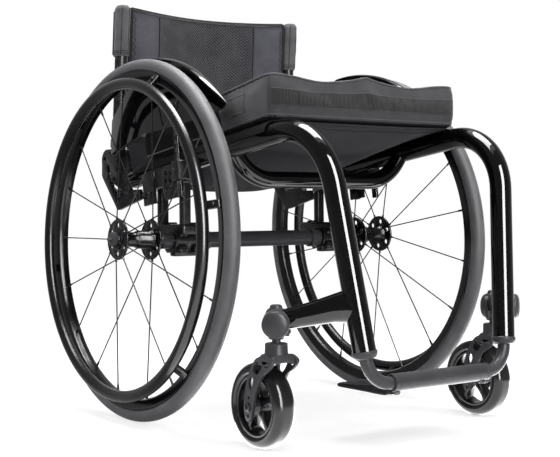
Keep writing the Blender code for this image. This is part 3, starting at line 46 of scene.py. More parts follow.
SIDES = {"left": 1, "right": -1}
AXLE_Y, AXLE_Z = 0.082095, 0.294899
CAMBER = math.radians(1.53)
HALF_TRACK = 0.2521
SPOKES, FLANGE_X, LEFT_WHEEL_TURN = 18, 0.03075, math.radians(10)
RAIL_X, RAIL_R = 0.1787, 0.0167
RAIL_Z_AT_AXLE, RAIL_SLOPE = 0.4156, 0.1355
LEG_BEND_Y, LEG_BEND_R = AXLE_Y - 0.4006, 0.0988
RAIL_END_Y = AXLE_Y + 0.118
FOOT_X, FOOT_Y, FOOT_Z = 0.1346, AXLE_Y - 0.4462, 0.0974
PIVOT = Vector((0, 0.228095, 0.402011))
HINGE_X, HINGE_HALF = 0.189, 0.003
CASTER_X, STEM_Y, CASTER_Y, CASTER_Z = 0.2209, -0.262905, -0.227605, 0.0615
CAMBER_TUBE_Z, CAMBER_TUBE_R = 0.2918, 0.0136
GUARD_POST_Y = AXLE_Y - 0.0657
FOOT_SLEEVE_HALF, FOOT_SLEEVE_R = 0.0965, 0.0128
POST_X, POST_R = 0.187, 0.011
POST_BASE, POST_TOP = (0.026, 0.0545), (0.006, 0.298)  # (y, z) from the pivot
BACK_HALF, BACK_LOW, BACK_TOP = 0.1729, 0.06, 0.304  # heights above the pivot
PANEL_EDGE, BINDING_EDGE, ZIGZAG = 0.61, 0.972, 0.955  # shares of the back's half width
CUSHION_FRONT, CUSHION_REAR, CUSHION_HALF = AXLE_Y - 0.2935, AXLE_Y + 0.09, 0.196


# Shaping: pick, edit, apply


def pick(*pieces):
    """Selects the pieces and makes the first one active."""
    bpy.ops.object.select_all(action="DESELECT")
    for piece in pieces:
        piece.select_set(True)
    bpy.context.view_layer.objects.active = pieces[0]


@contextmanager
def editing(piece, kind="VERT"):
    """Edit mode with all of the piece selected."""
    pick(piece)
    bpy.ops.object.mode_set(mode="EDIT")
    bpy.ops.mesh.select_mode(type=kind)
    bpy.ops.mesh.select_all(action="SELECT")
    yield
    bpy.ops.object.mode_set(mode="OBJECT")


def applied(piece, kind, **settings):
    """Puts a modifier on the piece and applies it."""
    pick(piece)
    modifier = piece.modifiers.new(kind.lower(), kind)
    for name, value in settings.items():
        setattr(modifier, name, value)
    bpy.ops.object.modifier_apply(modifier=modifier.name)
    return piece


def welded(piece, distance=1e-6):
    """Merges what coincides, clears loose edges and turns the faces outwards."""
    with editing(piece):
        bpy.ops.mesh.remove_doubles(threshold=distance)
        bpy.ops.mesh.delete_loose()
        bpy.ops.mesh.select_all(action="SELECT")
        bpy.ops.mesh.normals_make_consistent(inside=False)
    return piece


def smoothed(piece, angle=35):
    """Smooth shading, with edges sharper than the angle kept."""
    pick(piece)
    bpy.ops.object.shade_smooth_by_angle(angle=math.radians(angle))
    return piece


def softened(piece, width, segments=2, angle=30):
    """Rounds off the piece's sharp edges."""
    applied(piece, "BEVEL", width=width, segments=segments, limit_method="ANGLE",
            angle_limit=math.radians(angle), use_clamp_overlap=True)
    return smoothed(piece, 40)


def spun(profile, steps, place=None, angle=30):
    """A closed outline of (along X, radius) points spun about the X axis, then put in its place."""
    bpy.ops.mesh.primitive_circle_add(vertices=len(profile), radius=0.1)
    piece = bpy.context.object
    for vertex, (along, radius) in zip(piece.data.vertices, profile):
        vertex.co = (along, radius, 0)
    with editing(piece, "EDGE"):
        bpy.ops.mesh.spin(steps=steps, angle=2 * math.pi, center=(0, 0, 0), axis=(1, 0, 0))
    welded(piece)
    if place:
        piece.data.transform(place)
    return smoothed(piece, angle)


def tube(path, radius, sides=40, cyclic=False):
    """A round tube or cord along a path."""
    bpy.ops.curve.primitive_nurbs_path_add()
    piece = bpy.context.object
    curve = piece.data
    curve.splines.clear()
    line = curve.splines.new("POLY")
    line.points.add(len(path) - 1)
    for point, place in zip(line.points, path):
        point.co = (*place, 1)
    line.use_cyclic_u = cyclic
    curve.bevel_depth, curve.bevel_resolution, curve.use_fill_caps = radius, (sides - 4) // 2, True
    pick(piece)
    bpy.ops.object.convert(target="MESH")
    return smoothed(welded(piece, 1e-5), 40)


def surfaced(columns, rows, point, close=False):
    """A grid laid on the surface that point(u, v) gives, both 0 to 1; close joins and fills its ends."""
    bpy.ops.mesh.primitive_grid_add(x_subdivisions=columns, y_subdivisions=rows, size=2)
    piece = bpy.context.object
    for vertex in piece.data.vertices:
        vertex.co = point((vertex.co.x + 1) / 2, (vertex.co.y + 1) / 2)
    if close:
        with editing(piece):
            bpy.ops.mesh.remove_doubles(threshold=1e-6)
            bpy.ops.mesh.select_all(action="DESELECT")
            bpy.ops.mesh.select_non_manifold()
            bpy.ops.mesh.fill_holes(sides=0)
    return smoothed(welded(piece))


def plate(outline, thickness, place, bevel=0.0008, segments=2, cuts=()):
    """A flat piece from its outline, in the place's XY plane, with cut-outs and softened edges."""
    bpy.ops.mesh.primitive_circle_add(vertices=len(outline), radius=0.1, fill_type="NGON")
    piece = bpy.context.object
    for vertex, (x, y) in zip(piece.data.vertices, outline):
        vertex.co = (x, y, -thickness / 2)
    with editing(piece, "FACE"):
        bpy.ops.mesh.extrude_region_move(TRANSFORM_OT_translate={"value": (0, 0, thickness)})
    welded(piece)
    for hole in cuts:
        carved(piece, plate(hole, 4 * thickness, Matrix(), bevel=0))
    piece.data.transform(place)
    if place.determinant() < 0:
        welded(piece)
    if bevel:
        softened(piece, bevel, segments)
    return piece


def carved(piece, *tools):
    """Cuts the tools out of the piece and removes them."""
    for tool in tools:
        applied(piece, "BOOLEAN", operation="DIFFERENCE", solver="EXACT", object=tool)
        bpy.data.objects.remove(tool, do_unlink=True)
    return piece


def block(size, place, bevel=0.001, segments=2):
    """A box of the given size with rounded edges."""
    bpy.ops.mesh.primitive_cube_add(size=1)
    piece = bpy.context.object
    with editing(piece):
        bpy.ops.transform.resize(value=size)
    piece.data.transform(place)
    welded(piece)
    return softened(piece, bevel, segments)


def rod(start, end, radius, sides=32, bevel=0.0004):
    """A turned pin with softened ends."""
    start, end = Vector(start), Vector(end)
    length = (end - start).length
    soft = min(bevel, radius / 3, length / 3)
    profile = [(0, 0), (0, radius - soft), (soft, radius),
               (length - soft, radius), (length, radius - soft), (length, 0)]
    return spun(profile, sides, facing(start, end - start))


def joined(*pieces):
    """One object from several; each keeps its own shell."""
    pick(*pieces)
    if len(pieces) > 1:
        bpy.ops.object.join()
    return pieces[0]


def copied(piece, place):
    """A copy with its own mesh, moved by place."""
    made = piece.copy()
    made.data = piece.data.copy()
    made.data.transform(place)
    bpy.context.collection.objects.link(made)
    return made


def cad_copy(node, merge=2e-5, flat=1.0):
    """A copy of a CAD node's mesh with its loose triangles merged into flat faces."""
    piece = bpy.data.objects.new(node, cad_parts[node].data.copy())
    bpy.context.collection.objects.link(piece)
    piece.data.materials.clear()
    with editing(piece):
        bpy.ops.mesh.remove_doubles(threshold=merge)
        bpy.ops.mesh.dissolve_limited(angle_limit=math.radians(flat))
        bpy.ops.mesh.select_all(action="SELECT")
        bpy.ops.mesh.normals_make_consistent(inside=False)
    return piece


def painted(piece, *finishes):
    """Gives the piece these finishes, the first one on all faces."""
    piece.data.materials.clear()
    for finish in finishes:
        piece.data.materials.append(finish)


def fitted(piece, name, body, finish, slot, *nodes):
    """Names the finished piece, paints it unless its faces have their finishes, and hangs it on its body."""
    piece.name = piece.data.name = name
    if finish:
        painted(piece, finish)
    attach(piece, body)
    if nodes:
        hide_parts(*nodes)
    return piece


# Finishes


class Wiring:
    """Adds nodes to a tree; sockets are given by name, as values or as other nodes' outputs."""

    def __init__(self, tree):
        self.tree = tree

    def add(self, kind, settings=None, out=0, **sockets):
        made = self.tree.nodes.new(kind)
        for name, value in (settings or {}).items():
            setattr(made, name, value)
        self.feed(made, **sockets)
        return made.outputs[out] if out is not None else made

    def feed(self, node, **sockets):
        for name, value in sockets.items():
            key = int(name[1:]) if name[0] == "i" and name[1:].isdigit() else name.replace("_", " ")
            if isinstance(value, bpy.types.NodeSocket):
                self.tree.links.new(value, node.inputs[key])
            else:
                node.inputs[key].default_value = value

    def math(self, operation, one, two=0.0, clamp=False):
        return self.add("ShaderNodeMath", {"operation": operation, "use_clamp": clamp}, i0=one, i1=two)

    def times(self, one, two):
        return self.math("MULTIPLY", one, two)

    def plus(self, one, two, clamp=False):
        return self.math("ADD", one, two, clamp)

    def link(self, value, socket):
        self.tree.links.new(value, socket)

    def ramp(self, value, low, high):
        return self.add("ShaderNodeMapRange", {"clamp": True}, Value=value, From_Min=low, From_Max=high)

    def mix(self, share, one, two):
        made = self.add("ShaderNodeMix", {"data_type": "RGBA"}, out=None, i0=share, i6=one, i7=two)
        return made.outputs[2]


def group(name, inputs, outputs):
    """A node group with number inputs, or vectors where the value is None; its wiring, inputs and outputs."""
    tree = bpy.data.node_groups.new(name, "ShaderNodeTree")
    for label, value in inputs.items():
        kind = "NodeSocketVector" if value is None else "NodeSocketFloat"
        socket = tree.interface.new_socket(label, in_out="INPUT", socket_type=kind)
        if value is not None:
            socket.default_value = value
    for label in outputs:
        tree.interface.new_socket(label, in_out="OUTPUT", socket_type="NodeSocketFloat")
    wiring = Wiring(tree)
    source = tree.nodes.new("NodeGroupInput")
    sink = tree.nodes.new("NodeGroupOutput")
    return wiring, source.outputs, sink.inputs


def grain_group():
    """Fine grain and slow mottling of moulded, cast and sprayed surfaces."""
    w, given, made = group("grain", {"Vector": None, "Size": 0.001, "Patch": 0.05}, ["Grain", "Mottle"])
    fine = w.add("ShaderNodeTexNoise", Vector=given["Vector"], Detail=3.0, Roughness=0.6,
                 Scale=w.math("DIVIDE", 1.0, given["Size"]))
    slow = w.add("ShaderNodeTexNoise", Vector=given["Vector"], Detail=4.0, Roughness=0.55,
                 Scale=w.math("DIVIDE", 1.0, given["Patch"]))
    w.link(w.ramp(fine, 0.3, 0.7), made["Grain"])
    w.link(w.ramp(slow, 0.35, 0.65), made["Mottle"])
    return w.tree


def wear_group():
    """Where edges are rubbed bright, and where dust settles on faces that look up."""
    w, given, made = group("wear", {"Vector": None, "Edge": 0.5, "Dust": 0.5}, ["Rub", "Dust"])
    geometry = w.add("ShaderNodeNewGeometry", out=None)
    ragged = w.add("ShaderNodeTexNoise", Vector=given["Vector"], Scale=140.0, Detail=4.0)
    edge = w.ramp(geometry.outputs["Pointiness"], 0.52, 0.62)
    rub = w.times(w.times(edge, w.ramp(ragged, 0.45, 0.65)), given["Edge"])
    up = w.add("ShaderNodeSeparateXYZ", out=2, Vector=geometry.outputs["Normal"])
    speck = w.add("ShaderNodeTexNoise", Vector=given["Vector"], Scale=420.0, Detail=3.0)
    settled = w.times(w.ramp(up, 0.2, 1.0), w.ramp(speck, 0.42, 0.75))
    w.link(rub, made["Rub"])
    w.link(w.times(settled, given["Dust"]), made["Dust"])
    return w.tree


def weave_group():
    """Over-and-under threads in two directions of a vector's X and Y."""
    w, given, made = group("weave", {"Vector": None, "Thread": 0.001}, ["Height"])
    scaled = w.add("ShaderNodeVectorMath", {"operation": "SCALE"}, Vector=given["Vector"],
                   Scale=w.math("DIVIDE", math.pi, given["Thread"]))
    parts = w.add("ShaderNodeSeparateXYZ", out=None, Vector=scaled)
    across = w.math("SINE", parts.outputs[0])
    along = w.math("SINE", parts.outputs[1])
    warp = w.math("ABSOLUTE", across)
    weft = w.math("ABSOLUTE", along)
    over = w.times(w.math("SIGN", w.times(across, along)), 0.5)
    over = w.plus(over, 0.5)
    height = w.plus(w.times(warp, over),
                    w.times(weft, w.math("SUBTRACT", 1.0, over)))
    w.link(height, made["Height"])
    return w.tree


def mesh_group():
    """Open knit: rows of small diamond holes in a vector's X and Y."""
    w, given, made = group("open_knit", {"Vector": None, "Pitch": 0.004}, ["Height", "Hole"])
    scaled = w.add("ShaderNodeVectorMath", {"operation": "SCALE"}, Vector=given["Vector"],
                   Scale=w.math("DIVIDE", math.pi, given["Pitch"]))
    parts = w.add("ShaderNodeSeparateXYZ", out=None, Vector=scaled)
    rise = w.math("SINE", w.plus(parts.outputs[0], parts.outputs[1]))
    fall = w.math("SINE", w.math("SUBTRACT", parts.outputs[0], parts.outputs[1]))
    net = w.times(w.math("ABSOLUTE", rise), w.math("ABSOLUTE", fall))
    w.link(w.math("SUBTRACT", 1.0, net), made["Height"])
    w.link(w.ramp(net, 0.45, 0.7), made["Hole"])
    return w.tree


GRAIN, WEAR, WEAVE, KNIT = grain_group(), wear_group(), weave_group(), mesh_group()


def use(w, tree, **sockets):
    """The outputs of a node group that is put into w's tree."""
    return w.add("ShaderNodeGroup", {"node_tree": tree}, out=None, **sockets).outputs


def new_material(name):
    """A material with its shader, its wiring and the piece's own coordinates."""
    made = bpy.data.materials.new(name)
    made.use_nodes = True
    shader = made.node_tree.nodes["Principled BSDF"]
    w = Wiring(made.node_tree)
    place = w.add("ShaderNodeTexCoord", out=3)
    return made, shader, w, place


def hard_finish(name, colour, roughness, metallic=0.0, specular=0.07, grain=0.0008, depth=0.00002,
                spread=0.08, rub=0.5, rub_colour=(0.25, 0.25, 0.26), dust=0.25):
    """Paint, anodising, moulded plastic or rubber, with grain, mottling, rubbed edges and settled dust."""
    made, shader, w, place = new_material(name)
    grains = use(w, GRAIN, Vector=place, Size=grain, Patch=0.06)
    wear = use(w, WEAR, Vector=place, Edge=rub, Dust=dust)
    light = tuple(min(1, 1.35 * c + 0.002) for c in colour)
    base = w.mix(w.times(grains["Mottle"], 0.6), (*colour, 1), (*light, 1))
    base = w.mix(wear["Rub"], base, (*rub_colour, 1))
    base = w.mix(w.times(wear["Dust"], 0.12), base, (0.35, 0.34, 0.32, 1))
    rough = w.plus(roughness - spread / 2, w.times(grains["Mottle"], spread))
    rough = w.plus(rough, w.times(wear["Dust"], 0.25), clamp=True)
    bump = w.add("ShaderNodeBump", Strength=1.0, Distance=depth, Height=grains["Grain"])
    w.feed(shader, Base_Color=base, Roughness=rough, Metallic=metallic, Specular_IOR_Level=specular, Normal=bump)
    return made


def cloth_finish(name, dark, light, thread=0.0011, depth=0.00025, roughness=0.85, sheen=0.25, plane="XZ",
                 knit=None, ribs=None, hole_shade=0.3):
    """Woven, knitted or ribbed fabric with slow mottling, lint, and painted shade in its low parts."""
    made, shader, w, place = new_material(name)
    parts = w.add("ShaderNodeSeparateXYZ", out=None, Vector=place)
    axes = {"X": parts.outputs[0], "Y": parts.outputs[1], "Z": parts.outputs[2]}
    flat = w.add("ShaderNodeCombineXYZ", X=axes[plane[0]], Y=axes[plane[1]])
    if plane == "XZ":
        flat = w.add("ShaderNodeCombineXYZ", X=w.plus(axes["X"], axes["Y"]), Y=axes["Z"])
    slow = use(w, GRAIN, Vector=place, Size=0.0009, Patch=0.035)
    # painted shade: the cloth's low parts (the gaps between threads, the rib troughs and the knit's holes) are
    # darkened in its colour
    if knit:
        pattern = use(w, KNIT, Vector=flat, Pitch=knit)
        height = pattern["Height"]
        recess_shade = w.math("SUBTRACT", 1.0, w.times(pattern["Hole"], 1.0 - hole_shade))
    elif ribs:
        wave = w.math("SINE", w.times(axes["X"], 2 * math.pi / ribs))
        height = w.math("ABSOLUTE", wave)
        recess_shade = w.plus(w.times(height, 0.7), 0.3)
    else:
        pattern = use(w, WEAVE, Vector=flat, Thread=thread)
        height = pattern["Height"]
        recess_shade = w.plus(w.times(height, 0.45), 0.55)
    shade = w.times(recess_shade, w.plus(0.55, w.times(slow["Mottle"], 0.45)))
    base = w.mix(shade, (*dark, 1), (*light, 1))
    lint = w.add("ShaderNodeTexNoise", Vector=place, Scale=900.0, Detail=2.0)
    base = w.mix(w.times(w.ramp(lint, 0.68, 0.78), 0.25), base, (0.12, 0.12, 0.13, 1))
    rough = w.plus(roughness - 0.06, w.times(slow["Mottle"], 0.1))
    bump = w.add("ShaderNodeBump", Strength=0.8, Distance=depth, Height=height)
    w.feed(shader, Base_Color=base, Roughness=rough, Specular_IOR_Level=0.02, Sheen_Weight=sheen,
           Sheen_Roughness=0.5, Normal=bump)
    return made


def tyre_finish(name, colour, roughness, blocks, rows, depth):
    """Rubber with a moulded tread that follows the tyre round; the tread's grooves are painted darker as shade.
    """
    made, shader, w, place = new_material(name)
    wrap = w.add("ShaderNodeTexCoord", out=2)
    parts = w.add("ShaderNodeSeparateXYZ", out=None, Vector=wrap)
    turn = w.times(parts.outputs[0], blocks * 2 * math.pi)
    across = w.math("SUBTRACT", parts.outputs[1], 0.25)
    slant = w.plus(turn, w.times(w.math("ABSOLUTE", across), 40.0))
    cuts = w.ramp(w.math("SINE", slant), -0.2, 0.2)
    lanes = w.ramp(w.math("ABSOLUTE", w.math("SINE", w.times(across, rows * math.pi))), 0.1, 0.35)
    tread = w.ramp(w.math("ABSOLUTE", across), 0.135, 0.12)
    pattern = w.times(w.times(cuts, lanes), tread)
    grains = use(w, GRAIN, Vector=place, Size=0.0012, Patch=0.05)
    wear = use(w, WEAR, Vector=place, Edge=0.0, Dust=0.5)
    light = tuple(1.5 * c + 0.004 for c in colour)
    base = w.mix(w.times(grains["Mottle"], 0.7), (*colour, 1), (*light, 1))
    # painted shade: the tread's grooves are darkened in the colour
    base = w.mix(w.times(pattern, 0.6), base, tuple(0.4 * c for c in colour) + (1,))
    base = w.mix(w.times(wear["Dust"], 0.1), base, (0.3, 0.29, 0.27, 1))
    rough = w.plus(roughness, w.times(grains["Mottle"], 0.1))
    height = w.plus(w.times(pattern, -1.0), w.times(grains["Grain"], 0.12))
    bump = w.add("ShaderNodeBump", Strength=0.9, Distance=depth, Height=height)
    w.feed(shader, Base_Color=base, Roughness=rough, Specular_IOR_Level=0.06, Normal=bump)
    return made


GLOSS = hard_finish("gloss_black_paint", (0.001, 0.001, 0.0014), 0.05, specular=0.085, grain=0.004,
                    depth=0.0000003, spread=0.02, rub=0.02, dust=0.01)
SATIN = hard_finish("satin_black_anodising", (0.009, 0.009, 0.0105), 0.34, specular=0.05, grain=0.0005,
                    depth=0.000003, rub=0.2, dust=0.1)
GREY_SATIN = hard_finish("bead_blasted_black", (0.044, 0.044, 0.048), 0.34, specular=0.026, grain=0.0005,
                         depth=0.00002, rub=0.2)
SLEEVE_TUBE = hard_finish("foot_tube_grip", (0.028, 0.028, 0.031), 0.42, specular=0.04, grain=0.0012,
                          depth=0.00004, rub=0.2)
RING = hard_finish("push_ring_anodising", (0.004, 0.004, 0.005), 0.24, specular=0.085, grain=0.0006,
                   depth=0.000001, spread=0.03, rub=0.0)
RIM = hard_finish("rim_anodising", (0.003, 0.003, 0.0038), 0.18, specular=0.07, grain=0.0006, depth=0.000004,
                  rub=0.1)
CAST = hard_finish("cast_black", (0.004, 0.004, 0.005), 0.28, specular=0.07, grain=0.0009, depth=0.00001,
                   rub=0.1)
HINGE = hard_finish("black_plate", (0.003, 0.003, 0.004), 0.22, specular=0.07, grain=0.0009, depth=0.000004,
                    rub=0.1)
SPOKE = hard_finish("black_spoke_steel", (0.008, 0.008, 0.009), 0.3, metallic=0.3, rub=0.1, dust=0.1)
BOLT = hard_finish("black_bolt_steel", (0.012, 0.012, 0.013), 0.3, metallic=0.1, grain=0.0005, depth=0.000005,
                   rub=0.5, rub_colour=(0.2, 0.2, 0.21))
SHELL = hard_finish("glossy_guard_shell", (0.0012, 0.0012, 0.002), 0.06, specular=0.1, grain=0.003,
                    depth=0.000001, spread=0.03, rub=0.1)
TYRE = tyre_finish("road_tyre_rubber", (0.076, 0.076, 0.081), 0.5, 420, 12, 0.0012)
CASTER_TYRE = tyre_finish("caster_tyre_rubber", (0.012, 0.012, 0.013), 0.12, 1, 0, 0.00001)
PLATE = hard_finish("footplate_finish", (0.014, 0.014, 0.016), 0.5, specular=0.015, grain=0.0012, depth=0.00005,
                    rub=0.2)
CANVAS = cloth_finish("cushion_cover_weave", (0.018, 0.018, 0.02), (0.06, 0.061, 0.065), thread=0.0019,
                      depth=0.0003)
SMOOTH_COVER = cloth_finish("cushion_plain_border", (0.026, 0.026, 0.029), (0.078, 0.078, 0.085), thread=0.0008,
                            depth=0.00012)
SEAT_KNIT = cloth_finish("cushion_top_knit", (0.008, 0.008, 0.010), (0.06, 0.061, 0.068), knit=0.0032,
                         depth=0.0005, plane="XY")
RIBBED = cloth_finish("ribbed_band", (0.003, 0.003, 0.0035), (0.028, 0.028, 0.03), ribs=0.0052, depth=0.0006)
SLING_CLOTH = cloth_finish("seat_sling_nylon", (0.006, 0.006, 0.007), (0.016, 0.016, 0.019), thread=0.0009,
                           depth=0.00012, roughness=0.8, sheen=0.05, plane="XY")
# real black webbing on the sling and under the cushion; on the rear of the cushion's sides it is painted shade
WEBBING_AND_SHADE = cloth_finish("black_webbing_and_painted_shade", (0.001, 0.001, 0.0012), (0.004, 0.004, 0.0048), thread=0.0016,
                       depth=0.0002, roughness=0.8, sheen=0.02, plane="XY")
# painted shade: the knit's holes are painted nearly as dark as the darkest thread
BACK_KNIT = cloth_finish("back_open_knit", (0.004, 0.004, 0.005), (0.075, 0.075, 0.08), knit=0.0056,
                         depth=0.0006, hole_shade=0.02)
BACK_PANEL = cloth_finish("back_side_panel", (0.03, 0.03, 0.037), (0.09, 0.09, 0.108), thread=0.0007,
                          depth=0.00012)
SLEEVE = cloth_finish("sleeve_weave", (0.042, 0.042, 0.046), (0.135, 0.135, 0.145), thread=0.0013, depth=0.0003)
BINDING = cloth_finish("binding_tape", (0.004, 0.004, 0.005), (0.016, 0.016, 0.018), thread=0.0008,
                       depth=0.0002, roughness=0.6, sheen=0.1)
# painted sheen: the cords' colour is lighter than the cover's, standing in for the sheen along them
PIPING_PAINTED_SHEEN = cloth_finish("piping_cord_painted_sheen", (0.03, 0.03, 0.034), (0.09, 0.09, 0.098), thread=0.0006, depth=0.0001,
                      roughness=0.6)
THREAD = cloth_finish("sewing_thread", (0.002, 0.002, 0.0022), (0.012, 0.012, 0.013), thread=0.0004,
                      depth=0.0001)


# Paths, places and outlines


def rail_z(y):
    """Height of a seat rail's centre line."""
    return RAIL_Z_AT_AXLE - RAIL_SLOPE * (y - AXLE_Y)


def wheel_place(side, turn=0.0):
    """The rear wheel's own frame: X out along the axle, Z up in the leaning plane."""
    out = Vector((side * math.cos(CAMBER), 0, math.sin(CAMBER)))
    up = Vector((-side * math.sin(CAMBER), 0, math.cos(CAMBER)))
    frame_turn = Matrix((out, up.cross(out), up)).transposed().to_4x4()
    return Matrix.Translation((side * HALF_TRACK, AXLE_Y, AXLE_Z)) @ frame_turn @ Matrix.Rotation(turn, 4, "X")


def sideways(x=0.0, y=0.0, z=0.0):
    """A place whose XY plane stands along the chair: X to the rear, Y up."""
    return Matrix(((0, 0, 1, x), (1, 0, 0, y), (0, 1, 0, z), (0, 0, 0, 1)))


def facing(point, direction):
    """A place whose X axis points along direction."""
    turn = Vector(direction).to_track_quat("X", "Z").to_matrix().to_4x4()
    return Matrix.Translation(point) @ turn


def rounded_path(corners, radii, steps=20):
    """Straight runs through the corners, each inner corner replaced by an arc of its radius."""
    corners = [Vector(corner) for corner in corners]
    path = [corners[0]]
    for before, corner, after, radius in zip(corners, corners[1:], corners[2:], radii):
        back, ahead = (before - corner).normalized(), (after - corner).normalized()
        half = back.angle(ahead) / 2
        centre = corner + (back + ahead).normalized() * radius / math.sin(half)
        start = corner + back * radius / math.tan(half) - centre
        end = corner + ahead * radius / math.tan(half) - centre
        turn = start.angle(end)
        for step in range(steps + 1):
            share = step / steps
            spoke = start * math.sin((1 - share) * turn) + end * math.sin(share * turn)
            path.append(centre + spoke / math.sin(turn))
    path.append(corners[-1])
    return path


def side_path(side):
    """Centre line of a side tube: seat rail, bend, front leg down to its collar."""
    bend = Vector((side * RAIL_X, LEG_BEND_Y, rail_z(LEG_BEND_Y)))
    rear = Vector((side * RAIL_X, RAIL_END_Y, rail_z(RAIL_END_Y)))
    foot = Vector((side * FOOT_X, FOOT_Y, FOOT_Z))
    return rounded_path([rear, bend, bend.lerp(foot, 1 - 0.048 / (bend.z - FOOT_Z))], [LEG_BEND_R])


def leg_direction(side):
    """The way the front leg runs, downwards."""
    path = side_path(side)
    return (path[-1] - path[-2]).normalized()


def leg_point(side, z):
    """Point of the front leg's centre line at a height."""
    foot = side_path(side)[-1]
    down = leg_direction(side)
    return foot + down * ((z - foot.z) / down.z)


def around(radius, angle, x=0.0):
    """Point at an angle round the X axis."""
    return Vector((x, radius * math.cos(angle), radius * math.sin(angle)))


def arc(centre, radius, start, end, steps):
    """Points of an arc in degrees, both ends included."""
    angles = [math.radians(start + (end - start) * step / steps) for step in range(steps + 1)]
    return [(centre[0] + radius * math.cos(a), centre[1] + radius * math.sin(a)) for a in angles]


def mirrored(points):
    """The points, then the same ones mirrored in X and taken backwards."""
    return points + [(-x, y) for x, y in points[::-1]]


def ring_outline(x, radius, r, steps=20):
    """Outline of a round ring's section."""
    return [(x + r * math.cos(2 * math.pi * k / steps), radius + r * math.sin(2 * math.pi * k / steps))
            for k in range(steps)]


def slot_outline(centre, length, width, angle, steps=10):
    """A round-ended slot."""
    turn, half = math.degrees(angle), (length - width) / 2
    points = []
    for sign in (1, -1):
        middle = (centre[0] + sign * half * math.cos(angle), centre[1] + sign * half * math.sin(angle))
        start = turn - 90 if sign > 0 else turn + 90
        points += arc(middle, width / 2, start, start + 180, steps)
    return points


def smooth_outline(points, steps=5):
    """A closed curve through the points."""
    made = []
    count = len(points)
    for k in range(count):
        a, b, c, d = (Vector((*points[(k + j - 1) % count], 0)) for j in range(4))
        for step in range(steps):
            t = step / steps
            slow, fast = (2 * a - 5 * b + 4 * c - d) * t * t, (3 * b - a - 3 * c + d) * t**3
            point = 0.5 * (2 * b + (c - a) * t + slow + fast)
            made.append((point.x, point.y))
    return made


def bent(value, power):
    """The value to a power with its sign kept; a power below 1 squares a round section off."""
    return math.copysign(abs(value) ** power, value)


def laid(points, piece, lift):
    """The points moved onto a piece's surface, lifted off it."""
    made = []
    for point in points:
        hit, spot, normal, _ = piece.closest_point_on_mesh(point)
        made.append(spot + normal * lift if hit else point)
    return made


def draped(piece, onto, lift):
    """Moves the piece's points onto another piece's surface, lifted off it."""
    places = laid([vertex.co.copy() for vertex in piece.data.vertices], onto, lift)
    for vertex, place in zip(piece.data.vertices, places):
        vertex.co = place


def dashes(line, start, end, count, share=0.6, radius=0.0005):
    """Straight stitches along line(t)."""
    made = []
    for k in range(count):
        one = start + (end - start) * (k + 0.5 - share / 2) / count
        two = start + (end - start) * (k + 0.5 + share / 2) / count
        made.append(rod(line(one), line(two), radius, 6, 0.0001))
    return made


# Rear wheels


def wrap_uv(piece, place, centre_r):
    """UV round the wheel: u is the turn, v the place round the tyre's section."""
    inward = np.array(place.inverted(), float)
    mesh = piece.data
    points = np.zeros(len(mesh.vertices) * 3)
    mesh.vertices.foreach_get("co", points)
    points = points.reshape(-1, 3) @ inward[:3, :3].T + inward[:3, 3]
    turn = np.arctan2(points[:, 2], points[:, 1]) / (2 * math.pi)
    section = np.arctan2(np.hypot(points[:, 1], points[:, 2]) - centre_r, points[:, 0]) / (2 * math.pi)
    corners = np.zeros(len(mesh.loops), np.int32)
    mesh.loops.foreach_get("vertex_index", corners)
    u, v = turn[corners], section[corners]
    starts = np.zeros(len(mesh.polygons), np.int32)
    mesh.polygons.foreach_get("loop_start", starts)
    first = np.repeat(starts, np.diff(np.append(starts, len(corners))))
    u = u + np.round(u[first] - u)
    v = v + np.round(v[first] - v)
    layer = mesh.uv_layers.new(name="wrap")
    layer.data.foreach_set("uv", np.stack([u, v], 1).astype(np.float32).ravel())


def tyre(name, side):
    """Road tyre with its flat seat on the rim."""
    centre, section = 0.2825, 0.0125
    profile = [(section * math.cos(math.radians(a)), centre + section * math.sin(math.radians(a)))
               for a in range(-20, 201, 10)]
    profile += mirrored([(-0.0083, 0.2755), (-0.0073, 0.2701)])
    place = wheel_place(side)
    piece = spun(profile, 180, place)
    wrap_uv(piece, place, centre)
    fitted(piece, f"road_tyre_{name}", f"wheel_{name}", TYRE, "tyre", f"tyre_{name}")


def rim(name, side):
    """Rim with the well that the tyre sits in."""
    half, edge, inner = 0.0108, 0.2755, 0.258
    right = [(half - 0.0006, edge), (half, edge - 0.0008), (half, edge - 0.004), (half - 0.0005, edge - 0.0055),
             (half - 0.0005, inner + 0.0055), (0.0088, inner + 0.0022), (0.0055, inner + 0.0006), (0, inner)]
    profile = right + [(-x, r) for x, r in right[-2::-1]]
    profile += mirrored([(-0.0086, edge), (-0.0086, edge - 0.006)])
    piece = spun(profile, 180, wheel_place(side))
    fitted(piece, f"wheel_rim_{name}", f"wheel_{name}", RIM, "rim", f"rim_{name}")


def wheel_spokes(name, side, phase):
    """Eighteen straight spokes with nipples at the rim, from the two flanges in turn."""
    near, far, thick = 0.0318, 0.259, 0.00105
    pieces = []
    for index in range(SPOKES):
        sign = 1 if index % 2 else -1
        angle = math.radians(360 // SPOKES * index)
        head, foot = around(near, angle, sign * FLANGE_X), around(far, angle, sign * 0.0012)
        run = foot - head
        length = run.length
        profile = [(0, 0), (0, 0.0019), (0.0045, 0.0019), (0.0065, thick), (length - 0.014, thick),
                   (length - 0.0135, 0.0017), (length - 0.003, 0.0022), (length, 0.0024), (length, 0)]
        pieces.append(spun(profile, 10, wheel_place(side, phase) @ facing(head, run)))
    fitted(joined(*pieces), f"wheel_spokes_{name}", f"wheel_{name}", SPOKE, "spoke_steel", f"spokes_{name}")


